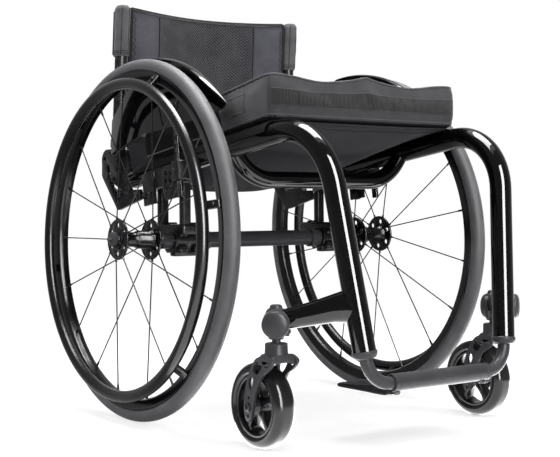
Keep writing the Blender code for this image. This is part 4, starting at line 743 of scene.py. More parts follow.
def hub(name, side, phase):
    """Barrel with turned ends and two pierced flanges with raised edges."""
    barrel = [(-0.04, 0.0068), (-0.04, 0.013), (-0.039, 0.014), (-0.0345, 0.0145), (-0.033, 0.0175),
              (-0.0285, 0.0185), (-0.026, 0.0175), (-0.022, 0.0155), (-0.004, 0.0148), (-0.002, 0.0138),
              (0.001, 0.0122), (0.012, 0.012), (0.019, 0.0128), (0.0245, 0.0145), (0.0285, 0.0168),
              (0.0338, 0.0166), (0.0346, 0.0158), (0.0348, 0.0145), (0.0355, 0.0138), (0.037, 0.0135),
              (0.037, 0.0068)]
    pieces = [spun(barrel, 48)]
    hole_circle, hole_r, flange_r, lip_r = 0.0233, 0.0042, 0.0312, 0.0022
    for sign in (-1, 1):
        holes = [arc((hole_circle * math.cos(t), hole_circle * math.sin(t)), hole_r, 0, 345, 23)
                 for t in (2 * math.pi * (index + 0.5) / 6 for index in range(6))]
        disc = arc((0, 0), flange_r, 0, 355, 71)
        pieces.append(plate(disc, 0.0032, sideways(sign * FLANGE_X), 0.0004, 2, holes))
        pieces.append(spun(ring_outline(sign * FLANGE_X, flange_r + 0.0001, lip_r, 12), 72))
    piece = smoothed(joined(*pieces), 35)
    piece.data.transform(wheel_place(side, phase))
    fitted(piece, f"wheel_hub_{name}", f"wheel_{name}", RIM, "rim", f"hub_{name}")


def push_ring(name, side, phase):
    """Push ring on six tabs that are screwed to the rim."""
    offset, radius, r = 0.0313, 0.2526, 0.0095
    pieces = [spun(ring_outline(offset, radius, r, 24), 180)]
    outline = [(0.0111, 0.2645), (0.0125, 0.2635), (offset - 0.004, radius - 0.006),
               (offset - 0.002, radius - 0.002), (offset - 0.003, radius + 0.004), (0.0145, 0.2742),
               (0.0111, 0.2745)]
    flat = Matrix(((1, 0, 0, 0), (0, 0, 1, 0), (0, 1, 0, 0), (0, 0, 0, 1)))
    tab = plate(outline, 0.0125, flat, 0.0009)
    screw = rod((0.0195, 0, 0.2665), (0.0225, 0, 0.268), 0.0026, 16)
    for index in range(6):
        turn = Matrix.Rotation(2 * math.pi * (index + 0.7) / 6, 4, "X")
        pieces += [copied(tab, turn), copied(screw, turn)]
    for used in (tab, screw):
        bpy.data.objects.remove(used, do_unlink=True)
    piece = joined(*pieces)
    piece.data.transform(wheel_place(side, phase))
    fitted(piece, f"push_ring_{name}", f"wheel_{name}", RING, "handrim", f"handrim_{name}")


def axle(name, side):
    """Quick-release axle with its cap, and the button in it."""
    start = 0.0373
    profile = [(-0.105, 0), (-0.105, 0.0048), (-0.1035, 0.00635), (start, 0.00635), (start, 0.0125),
               (start + 0.0035, 0.0122), (start + 0.0058, 0.0105), (start + 0.007, 0.0072),
               (start + 0.007, 0.0045), (start - 0.0036, 0.0045), (start - 0.0036, 0)]
    piece = spun(profile, 40, wheel_place(side))
    fitted(piece, f"quick_axle_{name}", "frame", GREY_SATIN, "steel", f"axle_{name}")
    face = start + 0.007 + 0.0055
    button = [(face - 0.0115, 0), (face - 0.0115, 0.0038), (face - 0.0012, 0.0038), (face - 0.0004, 0.0034),
              (face, 0.0022), (face, 0)]
    piece = spun(button, 28, wheel_place(side))
    fitted(piece, f"release_button_{name}", f"axle_button_{name}", GREY_SATIN, "steel", f"axle_button_{name}")


def socket_bolt(place, radius, height):
    """Cap screw head along X with a six-sided socket."""
    soft = 0.18 * radius
    head = spun([(-0.0005, 0), (-0.0005, radius), (height - soft, radius), (height, radius - soft),
                 (height, 0)], 28)
    low, high, wide = 0.5 * height, height + 0.001, 0.55 * radius
    hexagon = spun([(low, 0), (low, wide), (high, wide), (high, 0)], 6)
    carved(head, hexagon)
    head.data.transform(place)
    return smoothed(head, 30)


# Casters


def caster(name, side):
    """Soft-roll tyre, cast core with five spokes, and the bolt they turn on."""
    x, half = side * CASTER_X, 0.0142
    at = Matrix.Translation((x, CASTER_Y, CASTER_Z))
    tyre_profile = [(0.0137, 0.0453), (0.0158, 0.047), (0.0172, 0.0495)]
    tyre_profile += [(0.0172 - 0.0114 * (1 - math.cos(t)), 0.0503 + 0.0112 * math.sin(t))
                     for t in (0.25, 0.5, 0.75, 1.0, 1.25, 1.5)]
    tyre_profile += [(0.003, 0.0615)]
    piece = spun(mirrored(tyre_profile), 96, at, 50)
    wrap_uv(piece, at, 0.05)
    fitted(piece, f"soft_roll_tyre_{name}", f"caster_wheel_{name}", CASTER_TYRE, "caster_tyre",
           f"caster_tyre_{name}")
    ring = spun(mirrored([(half, 0.045), (half, 0.0425), (half - 0.001, 0.041), (half - 0.0035, 0.0405)]), 72)
    middle = spun(mirrored([(0.0188, 0.0044), (0.0188, 0.0088), (0.018, 0.0095), (0.0125, 0.0135)]), 40)
    pieces = [ring, middle]
    for index in range(5):
        turn = Matrix.Rotation(2 * math.pi * index / 5, 4, "X")
        outline = mirrored([(-0.0062, 0.0115), (-0.0042, 0.018), (-0.0036, 0.03), (-0.0052, 0.0375),
                            (-0.011, 0.0415)])
        pieces.append(plate(outline, 0.018, turn @ sideways(), 0.0016, 3))
    piece = joined(*pieces)
    piece.data.transform(at)
    fitted(piece, f"caster_rim_{name}", f"caster_wheel_{name}", CAST, "caster_core", f"caster_core_{name}")
    reach = 0.0245
    ends = []
    for sign in (-1, 1):
        outwards = Matrix.Rotation(0 if sign > 0 else math.pi, 4, "Z")
        ends.append(socket_bolt(at @ Matrix.Translation((sign * reach, 0, 0)) @ outwards, 0.0062, 0.0036))
    shank = rod((x - reach, CASTER_Y, CASTER_Z), (x + reach, CASTER_Y, CASTER_Z), 0.004)
    fitted(joined(shank, *ends), f"caster_axle_bolt_{name}", f"caster_fork_{name}", BOLT, "steel",
           f"caster_bolt_{name}")


def fork(name, side):
    """Swept-back legs with long slots, a sloping crown and the collar round the stem."""
    leg = [(-0.006, 0.1375), (0.0132, 0.1335), (0.0239, 0.1251), (0.034, 0.1098), (0.0425, 0.0888),
           (0.0462, 0.067), (0.0458, 0.052), (0.0405, 0.0415), (0.0335, 0.041), (0.0275, 0.0475),
           (0.0255, 0.058), (0.0222, 0.0706), (0.0155, 0.0874), (0.0035, 0.1065), (-0.0118, 0.1165),
           (-0.0212, 0.1262), (-0.0205, 0.1325)]
    big = [(0.0222, 0.1105), (0.0225, 0.1195), (0.0135, 0.1275), (0.0015, 0.1285), (0.0035, 0.1195),
           (0.0125, 0.11)]
    small = [(0.0345, 0.0935), (0.0322, 0.1015), (0.026, 0.1045), (0.0235, 0.099), (0.0262, 0.0915),
             (0.031, 0.0865)]
    nose = [(-0.013, 0.1288), (-0.0035, 0.1225), (-0.0098, 0.1212), (-0.0165, 0.1268)]
    leaf_x, leaf_thickness = 0.0219, 0.0046
    pieces = []
    for sign in (-1, 1):
        leaf = plate(smooth_outline(leg), leaf_thickness, sideways(sign * leaf_x), 0,
                     cuts=(smooth_outline(big), smooth_outline(small), smooth_outline(nose, 4)))
        for y, z, r in ((0.0348, 0.0745, 0.0023), (0.0366, 0.0488, 0.0026)):
            carved(leaf, rod((sign * 0.03, y, z), (sign * 0.01, y, z), r, 20))
        pieces.append(softened(leaf, 0.0009, 2, 35))
    arch = mirrored([(-0.0242, 0.1235), (-0.0242, 0.131), (-0.0215, 0.1345), (-0.0165, 0.1385)])
    arch += mirrored([(0.0194, 0.1235), (0.0172, 0.1268)])
    across = Matrix(((1, 0, 0, 0), (0, 0, -1, -0.0025), (0, 1, 0, 0), (0, 0, 0, 1)))
    pieces.append(plate(arch, 0.031, across, 0.0016, 3))
    up = Matrix.Rotation(-math.pi / 2, 4, "Y")
    collar = [(0.13, 0), (0.13, 0.0178), (0.1378, 0.0178), (0.14, 0.0166), (0.1525, 0.0162), (0.1535, 0.0155),
              (0.154, 0.0145), (0.154, 0.009), (0.1525, 0.0078), (0.1525, 0)]
    pieces.append(spun(collar, 56, up))
    pieces.append(spun([(0.15, 0), (0.15, 0.0062), (0.19, 0.0062), (0.19, 0)], 32, up))
    piece = joined(*pieces)
    piece.data.transform(Matrix.Translation((side * CASTER_X, STEM_Y, 0)))
    fitted(smoothed(piece, 40), f"caster_fork_{name}", f"caster_fork_{name}", GREY_SATIN, "satin_tube",
           f"fork_{name}")


def housing(name, side):
    """Domed barrel with its neck and the low cap over the stem's nut."""
    yaw = math.radians(38)
    ahead = Vector((side * math.sin(yaw), -math.cos(yaw), 0))
    centre = Vector((side * CASTER_X, STEM_Y, 0.1825))
    radius, rear, front = 0.0197, -0.0204, 0.0425
    dome, quarter = 0.0105, 1.5708
    profile = [(rear, 0)]
    profile += [(rear + dome * (1 - math.cos(t)), radius * math.sin(t) ** 0.8)
                for t in np.linspace(0.2, quarter, 10)]
    profile += [(front - dome * (1 - abs(math.cos(t)) ** 0.5), radius * math.sin(t) ** 0.8)
                for t in np.linspace(quarter, 0.2, 16)]
    profile += [(front, 0)]
    barrel = spun(profile, 64, facing(centre, ahead))
    x, y, screw_low = side * CASTER_X, STEM_Y, 0.1662
    up = Matrix.Translation((x, y, 0)) @ Matrix.Rotation(-math.pi / 2, 4, "Y")
    neck = spun([(0.1592, 0), (0.1592, 0.0098), (0.1602, 0.0108), (0.165, 0.0118), (0.172, 0.0145),
                 (0.182, 0.017), (0.182, 0)], 48, up)
    cap = spun([(0.192, 0), (0.192, 0.0155), (0.1985, 0.0142), (0.2018, 0.0118), (0.2028, 0.0092),
                (0.2052, 0.0088), (0.207, 0.0078), (0.208, 0.0058), (0.208, 0.0028), (0.2068, 0.0024),
                (0.2068, 0)], 48, up)
    x, y = x - side * 0.016, y - 0.004
    lug = rod((x, y, 0.178), (x, y, screw_low), 0.0055, 28, 0.0009)
    screw = socket_bolt(facing((x, y, screw_low), (0, 0, -1)), 0.0037, 0.0034)
    fitted(joined(barrel, neck, cap, lug, screw), f"caster_barrel_{name}", "frame", GREY_SATIN, "satin_tube",
           f"caster_housing_{name}")


# Frame, fittings, guards and footrest


def frame_tubes():
    """Side tubes with their caster arms, seat cross tube and camber tube."""
    for name, side in SIDES.items():
        piece = tube(side_path(side), RAIL_R, 64)
        fitted(piece, f"rail_and_leg_{name}", "frame", GLOSS, "gloss_frame", f"side_tube_{name}")
        caster_arm(name, side)
    y = AXLE_Y - 0.175
    top, low, bend_x = rail_z(y), rail_z(y) - 0.0498, 0.143
    corners = [(-RAIL_X, y, top), (-bend_x, y, low), (bend_x, y, low), (RAIL_X, y, top)]
    piece = tube(rounded_path(corners, [0.08, 0.08], 12), CAMBER_TUBE_R, 40)
    fitted(piece, "under_seat_tube", "frame", GLOSS, "gloss_frame", "seat_cross_tube")
    outer, ring, inner = CAMBER_TUBE_R, 0.0168, 0.0114
    half = [(0.0, outer), (0.1095, outer), (0.11, 0.0164), (0.1106, ring), (0.1292, ring), (0.13, 0.016),
            (0.1303, outer), (0.1995, outer), (0.2, 0.0132), (0.2, inner), (0, inner)]
    profile = half[:-1] + [(-x, r) for x, r in half[-2:0:-1]]
    piece = spun(profile, 48, Matrix.Translation((0, AXLE_Y, CAMBER_TUBE_Z)))
    fitted(piece, "camber_bar", "frame", GREY_SATIN, "satin_tube", "camber_tube")


def caster_arm(name, side):
    """Bracket tube whose root wraps round the leg in a pointed gusset."""
    root = leg_point(side, 0.2035)
    end = Vector((side * CASTER_X, STEM_Y, 0.1838))
    run = (end - root).normalized()
    level = Vector((run.x, run.y, 0)).normalized()
    across = level.cross(Vector((0, 0, 1)))
    length = (end - root).length
    stations = [(-0.014, 0.1985, 0.003, 0.002), (-0.0125, 0.199, 0.006, 0.004), (-0.008, 0.2015, 0.013, 0.01),
                (0.0, 0.2045, 0.0195, 0.0165), (0.0155, 0.2066, 0.0228, 0.016), (0.019, 0.2062, 0.0225, 0.0148),
                (0.03, 0.2045, 0.0205, 0.0136), (0.055, 0.198, 0.018, 0.013), (0.085, 0.191, 0.0158, 0.0126),
                (length, 0.1838, 0.0145, 0.0122)]
    reach, height, tall, wide = (np.array(column) for column in zip(*stations))

    def skin(u, v):
        share = v * (len(stations) - 1)
        low = min(int(share), len(stations) - 2)
        at = reach[low] + (reach[low + 1] - reach[low]) * (share - low)
        z, h, w = (float(np.interp(at, reach, row)) for row in (height, tall, wide))
        c, s = bent(math.cos(2 * math.pi * u), 0.94), bent(math.sin(2 * math.pi * u), 0.94)
        middle = root + level * at
        return Vector((middle.x, middle.y, z)) + across * w * c + Vector((0, 0, h * s))

    arm = surfaced(48, 45, skin, close=True)
    fitted(smoothed(arm, 40), f"caster_bracket_{name}", "frame", GLOSS, "gloss_frame", f"caster_arm_{name}")


def fittings():
    """Brackets and sockets: the CAD shapes with rounded edges."""
    for stem, label, finish, slot, bevel in (
            ("seat_bracket", "rail_saddle", CAST, "satin_black", 0.0012),
            ("guard_receiver", "guard_socket", CAST, "satin_black", 0.0016),
            ("upright_front", "seat_post_front", SATIN, "satin_tube", 0.0008),
            ("upright_rear", "seat_post_rear", SATIN, "satin_tube", 0.0008),
            ("camber_plug", "camber_insert", GREY_SATIN, "steel", 0.0006)):
        for name in SIDES:
            piece = softened(cad_copy(f"{stem}_{name}"), bevel, 2, 40)
            fitted(piece, f"{label}_{name}", "frame", finish, slot, f"{stem}_{name}")
    for name, side in SIDES.items():
        split_clamp(name, side)
        hinge(name, side)
        y, z = AXLE_Y - 0.0275, rail_z(AXLE_Y - 0.0275)
        shape = [(y - 0.017, z - 0.006), (y + 0.017, z - 0.006), (y + 0.018, z - 0.034),
                 (y + 0.0125, z - 0.0565), (y - 0.0125, z - 0.0565), (y - 0.018, z - 0.034)]
        cuts = [arc((y + across, z - 0.016 - 0.0125 * row), 0.0036, 0, 345, 15) for row in range(3)
                for across in (-0.0072, 0.0072)]
        drilled = plate(smooth_outline(shape, 6), 0.003, sideways(side * (RAIL_X + 0.0235)), 0.0007, 2, cuts)
        fitted(drilled, f"drilled_cheek_{name}", "frame", CAST, "satin_black")


def fitting_screws():
    """Screws of the hinge plates, seat brackets and guard receivers."""
    for name, side in SIDES.items():
        out = (side, 0, 0)
        heads = []
        for y, z, r in ((0.0205, 0.0365, 0.0042), (0.047, 0.0455, 0.0036), (0.038, -0.002, 0.0036),
                        (0.012, -0.03, 0.0042), (0.03, -0.0385, 0.0036)):
            spot = PIVOT + Vector((side * (HINGE_X + HINGE_HALF), y, z))
            heads.append(socket_bolt(facing(spot, out), r, 0.0026))
        disc = PIVOT + Vector((side * 0.1915, 0.061, 0.004))
        heads.append(rod(disc, disc + Vector((side * 0.0018, 0, 0)), 0.0068, 32, 0.0008))
        for y in (AXLE_Y + 0.009 - 0.0354, AXLE_Y + 0.009 + 0.0354):
            for across in (-0.009, 0.009):
                spot = (side * (RAIL_X + 0.0195 + 0.0037), y + across, rail_z(y + across) - 0.042)
                heads.append(socket_bolt(facing(spot, out), 0.0048, 0.003))
        spot = (side * 0.2165, GUARD_POST_Y, rail_z(GUARD_POST_Y) - 0.018)
        heads.append(socket_bolt(facing(spot, out), 0.004, 0.0026))
        fitted(joined(*heads), f"cap_screws_{name}", "frame", BOLT, "satin_black")


def split_clamp(name, side):
    """Round clamp on the camber tube: bolt lobes, a pinch slot and the bar that carries both seat posts."""
    middle, ring, groove = 0.1575, 0.0207, 0.0198
    profile = [(-0.0265, 0.0139), (-0.0265, 0.0195), (-0.0253, ring), (-0.017, ring), (-0.0162, groove),
               (-0.0045, groove), (-0.0037, ring)]
    pieces = [spun(mirrored(profile), 64)]
    for y, rise in ((-0.0178, 0.0128), (-0.0178, -0.0135), (0.0178, -0.0135)):
        for x in (-0.0145, 0.0145):
            pieces.append(rod((x - 0.0078, y, rise), (x + 0.0078, y, rise), 0.0078, 28, 0.0015))
            if y < 0:
                pieces.append(socket_bolt(facing((x, y - 0.0062, rise), (0, -1, 0)), 0.0046, 0.0034))
    bar = block((0.051, 0.095, 0.0175), Matrix.Translation((0, 0.009, 0.0185)), 0.0045, 3)
    foot = block((0.046, 0.0165, 0.014), Matrix.Translation((0, 0, -0.0195)), 0.003, 3)
    slit = block((0.0475, 0.0018, 0.016), Matrix.Translation((0, 0, -0.0215)), 0.0003, 1)
    pieces += [bar, carved(foot, slit)]
    for y in (-0.0264, 0.0444):
        pieces.append(rod((-0.013, y, 0.0268), (0.013, y, 0.0268), 0.0035, 16))
    piece = joined(*pieces)
    piece.data.transform(Matrix.Translation((side * middle, AXLE_Y, CAMBER_TUBE_Z)))
    fitted(smoothed(piece, 35), f"split_clamp_{name}", "frame", CAST, "satin_black", f"camber_clamp_{name}")


def hinge(name, side):
    """Slotted hinge plate with the rail's end plug and the pivot pin."""
    below = rail_z(RAIL_END_Y) - RAIL_R - 0.0035 - PIVOT.z
    front = RAIL_END_Y + 0.004 - PIVOT.y
    outline = arc((0.059, 0.032), 0.02, -15, 90, 16) + arc((-0.004, 0.044), 0.008, 90, 180, 10)
    outline += [(front, 0.013), (front, below), (front - 0.034, below)]
    outline += arc((front - 0.032, below - 0.0114), 0.007, 180, 250, 10)
    outline += arc((0.017, -0.047), 0.011, 255, 330, 12)
    outline += arc((0.059, 0.013), 0.021, 322, 342, 6)
    cuts = (slot_outline((0.052, 0.016), 0.016, 0.007, math.radians(80)),
            slot_outline((0.03, -0.017), 0.026, 0.008, math.radians(25)),
            arc((0.066, 0.035), 0.004, 0, 345, 23))
    x = side * HINGE_X
    sheet = plate(outline, 2 * HINGE_HALF, sideways(x, PIVOT.y, PIVOT.z), 0.0012, 3, cuts)
    rear = Vector((side * RAIL_X, RAIL_END_Y, rail_z(RAIL_END_Y)))
    profile = [(-0.03, 0), (-0.03, 0.0128), (0.0002, 0.0128), (0.0002, RAIL_R), (0.0072, RAIL_R),
               (0.0085, RAIL_R - 0.0013), (0.0085, 0)]
    plug = spun(profile, 56, facing(rear, (0, 1, -RAIL_SLOPE)))
    pin = rod((x, PIVOT.y, PIVOT.z), (x - side * 0.0165, PIVOT.y, PIVOT.z), 0.004)
    fitted(joined(sheet, plug, pin), f"back_hinge_{name}", "frame", HINGE, "satin_tube", f"hinge_plate_{name}")


def side_guard(name, side):
    """Thin shell beside the seat: its arched top rolls out beside the tyre, and a pierced post carries it."""
    middle_x, thickness, lift, radius = 0.2123, 0.0026, 0.052, 0.298

    def arch(angle, r):
        return AXLE_Y - r * math.sin(angle), AXLE_Z + r * math.cos(angle)

    front = next(a for a in np.linspace(0.3, 1.5, 2401)
                 if arch(a, radius)[1] < rail_z(arch(a, radius)[0]) + lift + 0.006)
    rear = -math.radians(8)
    top = [arch(front + (rear - front) * k / 60, radius - 0.001) for k in range(61)]
    low = [(PIVOT.y, PIVOT.z + 0.1), (PIVOT.y + 0.003, PIVOT.z + 0.07), (PIVOT.y + 0.004, PIVOT.z + 0.041),
           (PIVOT.y - 0.002, PIVOT.z + 0.0385), (PIVOT.y - 0.01, PIVOT.z + 0.038)]
    low += [(AXLE_Y + y, rail_z(AXLE_Y + y) + lift + rise)
            for y, rise in ((0.04, 0.009), (-0.02, 0.0048), (-0.09, 0.001))]
    nose = top[0][0] + 0.022
    low += [(nose, rail_z(nose) + lift), (nose - 0.012, rail_z(nose - 0.012) + lift + 0.0008)]
    panel = plate(top + low, thickness, sideways(side * middle_x), 0.0009, 3)
    inner = middle_x - thickness / 2

    def lip_point(u, v):
        angle = front - 0.006 + (rear - front + 0.006) * v
        width = thickness + 0.0117 * math.sin(math.pi / 2 * min(1, (front - angle) / math.radians(14)))
        share = 0.5 - 0.5 * math.cos(2 * math.pi * u)
        half = 0.0012 * bent(math.sin(2 * math.pi * u), 0.4)
        drop = 0.0031 * (1 - share) ** 4 + 0.0022 * share**3
        y, z = arch(angle, radius - drop + half)
        return Vector((side * (inner + width * share), y, z))

    lip = surfaced(40, 90, lip_point, close=True)
    post = (side * (inner - 0.0029), GUARD_POST_Y, rail_z(GUARD_POST_Y))
    lean = Matrix.Translation(post) @ Matrix.Rotation(-math.atan(RAIL_SLOPE), 4, "X")
    bar = block((0.006, 0.0125, 0.147), lean @ Matrix.Translation((0, 0, 0.0115)), 0.0016, 3)
    for index in range(4):
        spot = lean @ Vector((0, 0, 0.012 + 0.013 * index))
        carved(bar, rod(spot - Vector((0.01, 0, 0)), spot + Vector((0.01, 0, 0)), 0.0025, 24))
    fitted(joined(panel, lip, bar), f"guard_shell_{name}", f"side_guard_{name}", SHELL, "guard_shell",
           f"side_guard_{name}")


def footrest():
    """Leg collars, extension tubes, cross sleeve and the footplate below it."""
    for name, side in SIDES.items():
        foot, down = side_path(side)[-1], leg_direction(side)
        collar = spun([(-0.03, 0.0096), (-0.03, 0.0142), (0.0003, 0.0142), (0.0003, 0.0172), (0.0015, 0.0182),
                       (0.0035, 0.0182), (0.0075, 0.0172), (0.0102, 0.0148), (0.011, 0.0124), (0.011, 0.0096)],
                      56, facing(foot, down))
        fitted(collar, f"leg_end_collar_{name}", "frame", GREY_SATIN, "satin_tube", f"leg_collar_{name}")
        end = (side * (FOOT_SLEEVE_HALF - 0.04), FOOT_Y, FOOT_Z)
        path = rounded_path([foot - down * 0.055, (side * FOOT_X, FOOT_Y, FOOT_Z), end], [0.042])
        fitted(tube(path, 0.0093, 40), f"footrest_tube_{name}", "frame", GREY_SATIN, "satin_tube",
               f"extension_tube_{name}")
    half, r = FOOT_SLEEVE_HALF, FOOT_SLEEVE_R
    profile = [(0.0, r), (half - 0.0095, r), (half - 0.009, r - 0.0004), (half - 0.0085, r), (half - 0.0012, r),
               (half, r - 0.0012), (half, 0.0098), (0.0, 0.0098)]
    profile = profile[:-1] + [(-x, radius) for x, radius in profile[-2:0:-1]]
    piece = spun(profile, 56, Matrix.Translation((0, FOOT_Y, FOOT_Z)))
    fitted(piece, "foot_tube_sleeve", "frame", SLEEVE_TUBE, "satin_black", "foot_sleeve")
    w, depth, corner, front = 0.106, 0.118, 0.022, FOOT_Y + 0.002
    outline = mirrored(arc((w - corner, depth - corner), corner, 0, 90, 12))
    ear = [(-w, 0.003), (0.0009 - w, 0.0009), (0.003 - w, 0), (-0.08, 0), (-0.0765, 0.0015), (-0.075, 0.005),
           (-0.0735, 0.018), (-0.0705, 0.0225), (-0.066, 0.024)]
    outline += mirrored(ear)
    top = FOOT_Z - FOOT_SLEEVE_R - 0.0003
    slab = plate(outline, 0.0036, Matrix.Translation((0, front, top - 0.0018)), 0.0012, 3)
    cheek = [(0.0, -0.0034), (0.055, -0.0036), (0.098, -0.0036), (0.105, -0.0008), (0.1, 0.0016),
             (0.06, 0.0045), (0.014, 0.0095), (0.0, 0.0085)]
    cheek = smooth_outline([(y, top + rise) for y, rise in cheek], 4)
    cheeks = [plate(cheek, 0.004, sideways(side * (w - 0.004), front), 0.001) for side in SIDES.values()]
    fitted(joined(slab, *cheeks), "footrest_plate", "frame", PLATE, "footplate", "footplate")
    heads = [socket_bolt(facing((side * 0.086, FOOT_Y, top - 0.0006), (0, 0, -1)), 0.0055, 0.0032)
             for side in (1, -1)]
    rib = (0.17, 0.0035, 0.0008)
    ribs = [block(rib, Matrix.Translation((0, FOOT_Y + 0.034 + 0.0105 * k, top + 0.0003)), 0.0003)
            for k in range(8)]
    fitted(joined(*heads), "footplate_screws", "frame", BOLT, "satin_black")
    fitted(joined(*ribs), "footplate_grip_ribs", "frame", PLATE, "footplate")


# Folding back


def post_y(rise):
    """How far behind the pivot the post's centre line is at a height above it."""
    return POST_BASE[0] + (POST_TOP[0] - POST_BASE[0]) * (rise - POST_BASE[1]) / (POST_TOP[1] - POST_BASE[1])


def back_posts():
    """Back posts with collar, elbow and pivot lug, and their sleeves."""
    for name, side in SIDES.items():
        x = side * POST_X
        base, top = (PIVOT + Vector((x, *end)) for end in (POST_BASE, POST_TOP))
        rise = (top - base).normalized()
        cane = rod(base - rise * 0.001, top, POST_R, 48, 0.002)
        profile = [(-0.001, 0), (-0.001, 0.0128), (0, 0.0138), (0.0135, 0.0138), (0.015, 0.0126), (0.015, 0)]
        collar = spun(profile, 48, facing(base, rise))
        lug_half, clearance = 0.004, 0.0003
        lug_x = side * (HINGE_X - HINGE_HALF - clearance - lug_half)
        knee = PIVOT + Vector((lug_x, 0.0161, 0.03))
        tip = base + rise * 0.006
        stations = [PIVOT + Vector((lug_x, 0, 0)), knee, Vector((lug_x, tip.y, tip.z))]
        lines = rounded_path(stations, [0.03], 8)
        elbow_wide = 0.0085

        def elbow_point(u, v, lines=lines):
            place = v * (len(lines) - 1)
            low = min(int(place), len(lines) - 2)
            middle = lines[low].lerp(lines[low + 1], place - low)
            run = (lines[low + 1] - lines[low]).normalized()
            level = Vector((1, 0, 0)).cross(run)
            angle = 2 * math.pi * u
            c, s = math.cos(angle), math.sin(angle)
            square = bent(c, 0.45), bent(s, 0.45)
            return middle + Vector((1, 0, 0)) * square[0] * lug_half + level * square[1] * elbow_wide

        elbow = surfaced(32, 10, elbow_point, close=True)
        ends = [PIVOT + Vector((lug_x + sign * lug_half, 0, 0)) for sign in (-1, 1)]
        lug = rod(*ends, 0.0085, 40, 0.001)
        piece = joined(cane, collar, elbow, lug)
        fitted(piece, f"back_cane_{name}", "back", SATIN, "satin_black", f"back_post_{name}")
        sleeve_of_post(name, side)


def sleeve_of_post(name, side):
    """Padded fabric sleeve, closed by a hook strip along its outer rear edge."""
    bottom, top, half = 0.3055 - 0.0895, 0.3055, 0.0133

    def skin(u, v):
        rise = bottom + (top - bottom) * v
        angle = 2 * math.pi * u
        c, s = math.cos(angle), math.sin(angle)
        squeeze = 1 - 0.3 * max(0, (v - 0.9) / 0.1) ** 2 - 0.05 * max(0, (0.06 - v) / 0.06)
        folds = 0.012 * math.sin(23 * v + 3 * math.sin(angle))
        bulge = 1 + 0.025 * math.sin(7 * v + side) * math.sin(2 * angle) + folds
        x, y = (half * bent(part, 0.8) * squeeze * bulge for part in (c, s))
        return PIVOT + Vector((side * POST_X + x, post_y(rise) + y, rise))

    piece = surfaced(40, 36, skin, close=True)
    fitted(piece, f"cane_sleeve_{name}", "back", SLEEVE, "fabric", f"post_sleeve_{name}")

    def strip(u, v):
        rise = bottom + 0.003 + (top - bottom - 0.014) * v
        around_post = math.radians(20 + 70 * u)
        x = side * (half + 0.0009) * math.cos(around_post) ** 0.8
        y = (half + 0.0009) * math.sin(around_post) ** 0.8
        return PIVOT + Vector((side * POST_X + x, post_y(rise) + y, rise))

    band = surfaced(8, 30, strip)
    applied(band, "SOLIDIFY", thickness=0.0016, offset=0)
    welded(band)
    fitted(smoothed(band), f"hook_strip_{name}", "back", BINDING, "fabric")
    seams = []
    for turn in (-118, -62, 118):
        u = math.radians(turn if side > 0 else 180 - turn) / (2 * math.pi)
        seams.append(tube(laid([skin(u, 0.02 + 0.93 * k / 40) for k in range(41)], piece, 0.0002), 0.0006, 8))
    for v in (0.06, 0.1):
        seams.append(tube(laid([skin(k / 60, v) for k in range(60)], piece, 0.0001), 0.0005, 8, cyclic=True))
    fitted(joined(*seams), f"sleeve_seams_{name}", "back", BINDING, "fabric")


def back_surface(u, v, face):
    """Point of the back's front (-1) or rear (1) face at u across and v up, both -1 to 1."""
    top = BACK_TOP - 0.004 * (1 - u**4)
    rise = BACK_LOW + (top - BACK_LOW) * (v + 1) / 2
    half_thickness, hollow, pad_from = 0.007, 0.03, 0.66
    fullness = (1 - abs(u) ** 5) ** 0.5 * (1 - abs(v) ** 6) ** 0.5
    panel = 1.0
    if face < 0 and abs(u) > pad_from:
        panel = 1.0 + 0.25 * math.sin(math.pi * min(1, (abs(u) - pad_from) / 0.3)) * (1 - abs(v) ** 8)
    y = post_y(rise) + hollow * math.cos(math.pi * u / 2) ** 1.6
    y += face * half_thickness * (0.35 + 0.65 * fullness) * panel
    return PIVOT + Vector((BACK_HALF * u, y, rise))


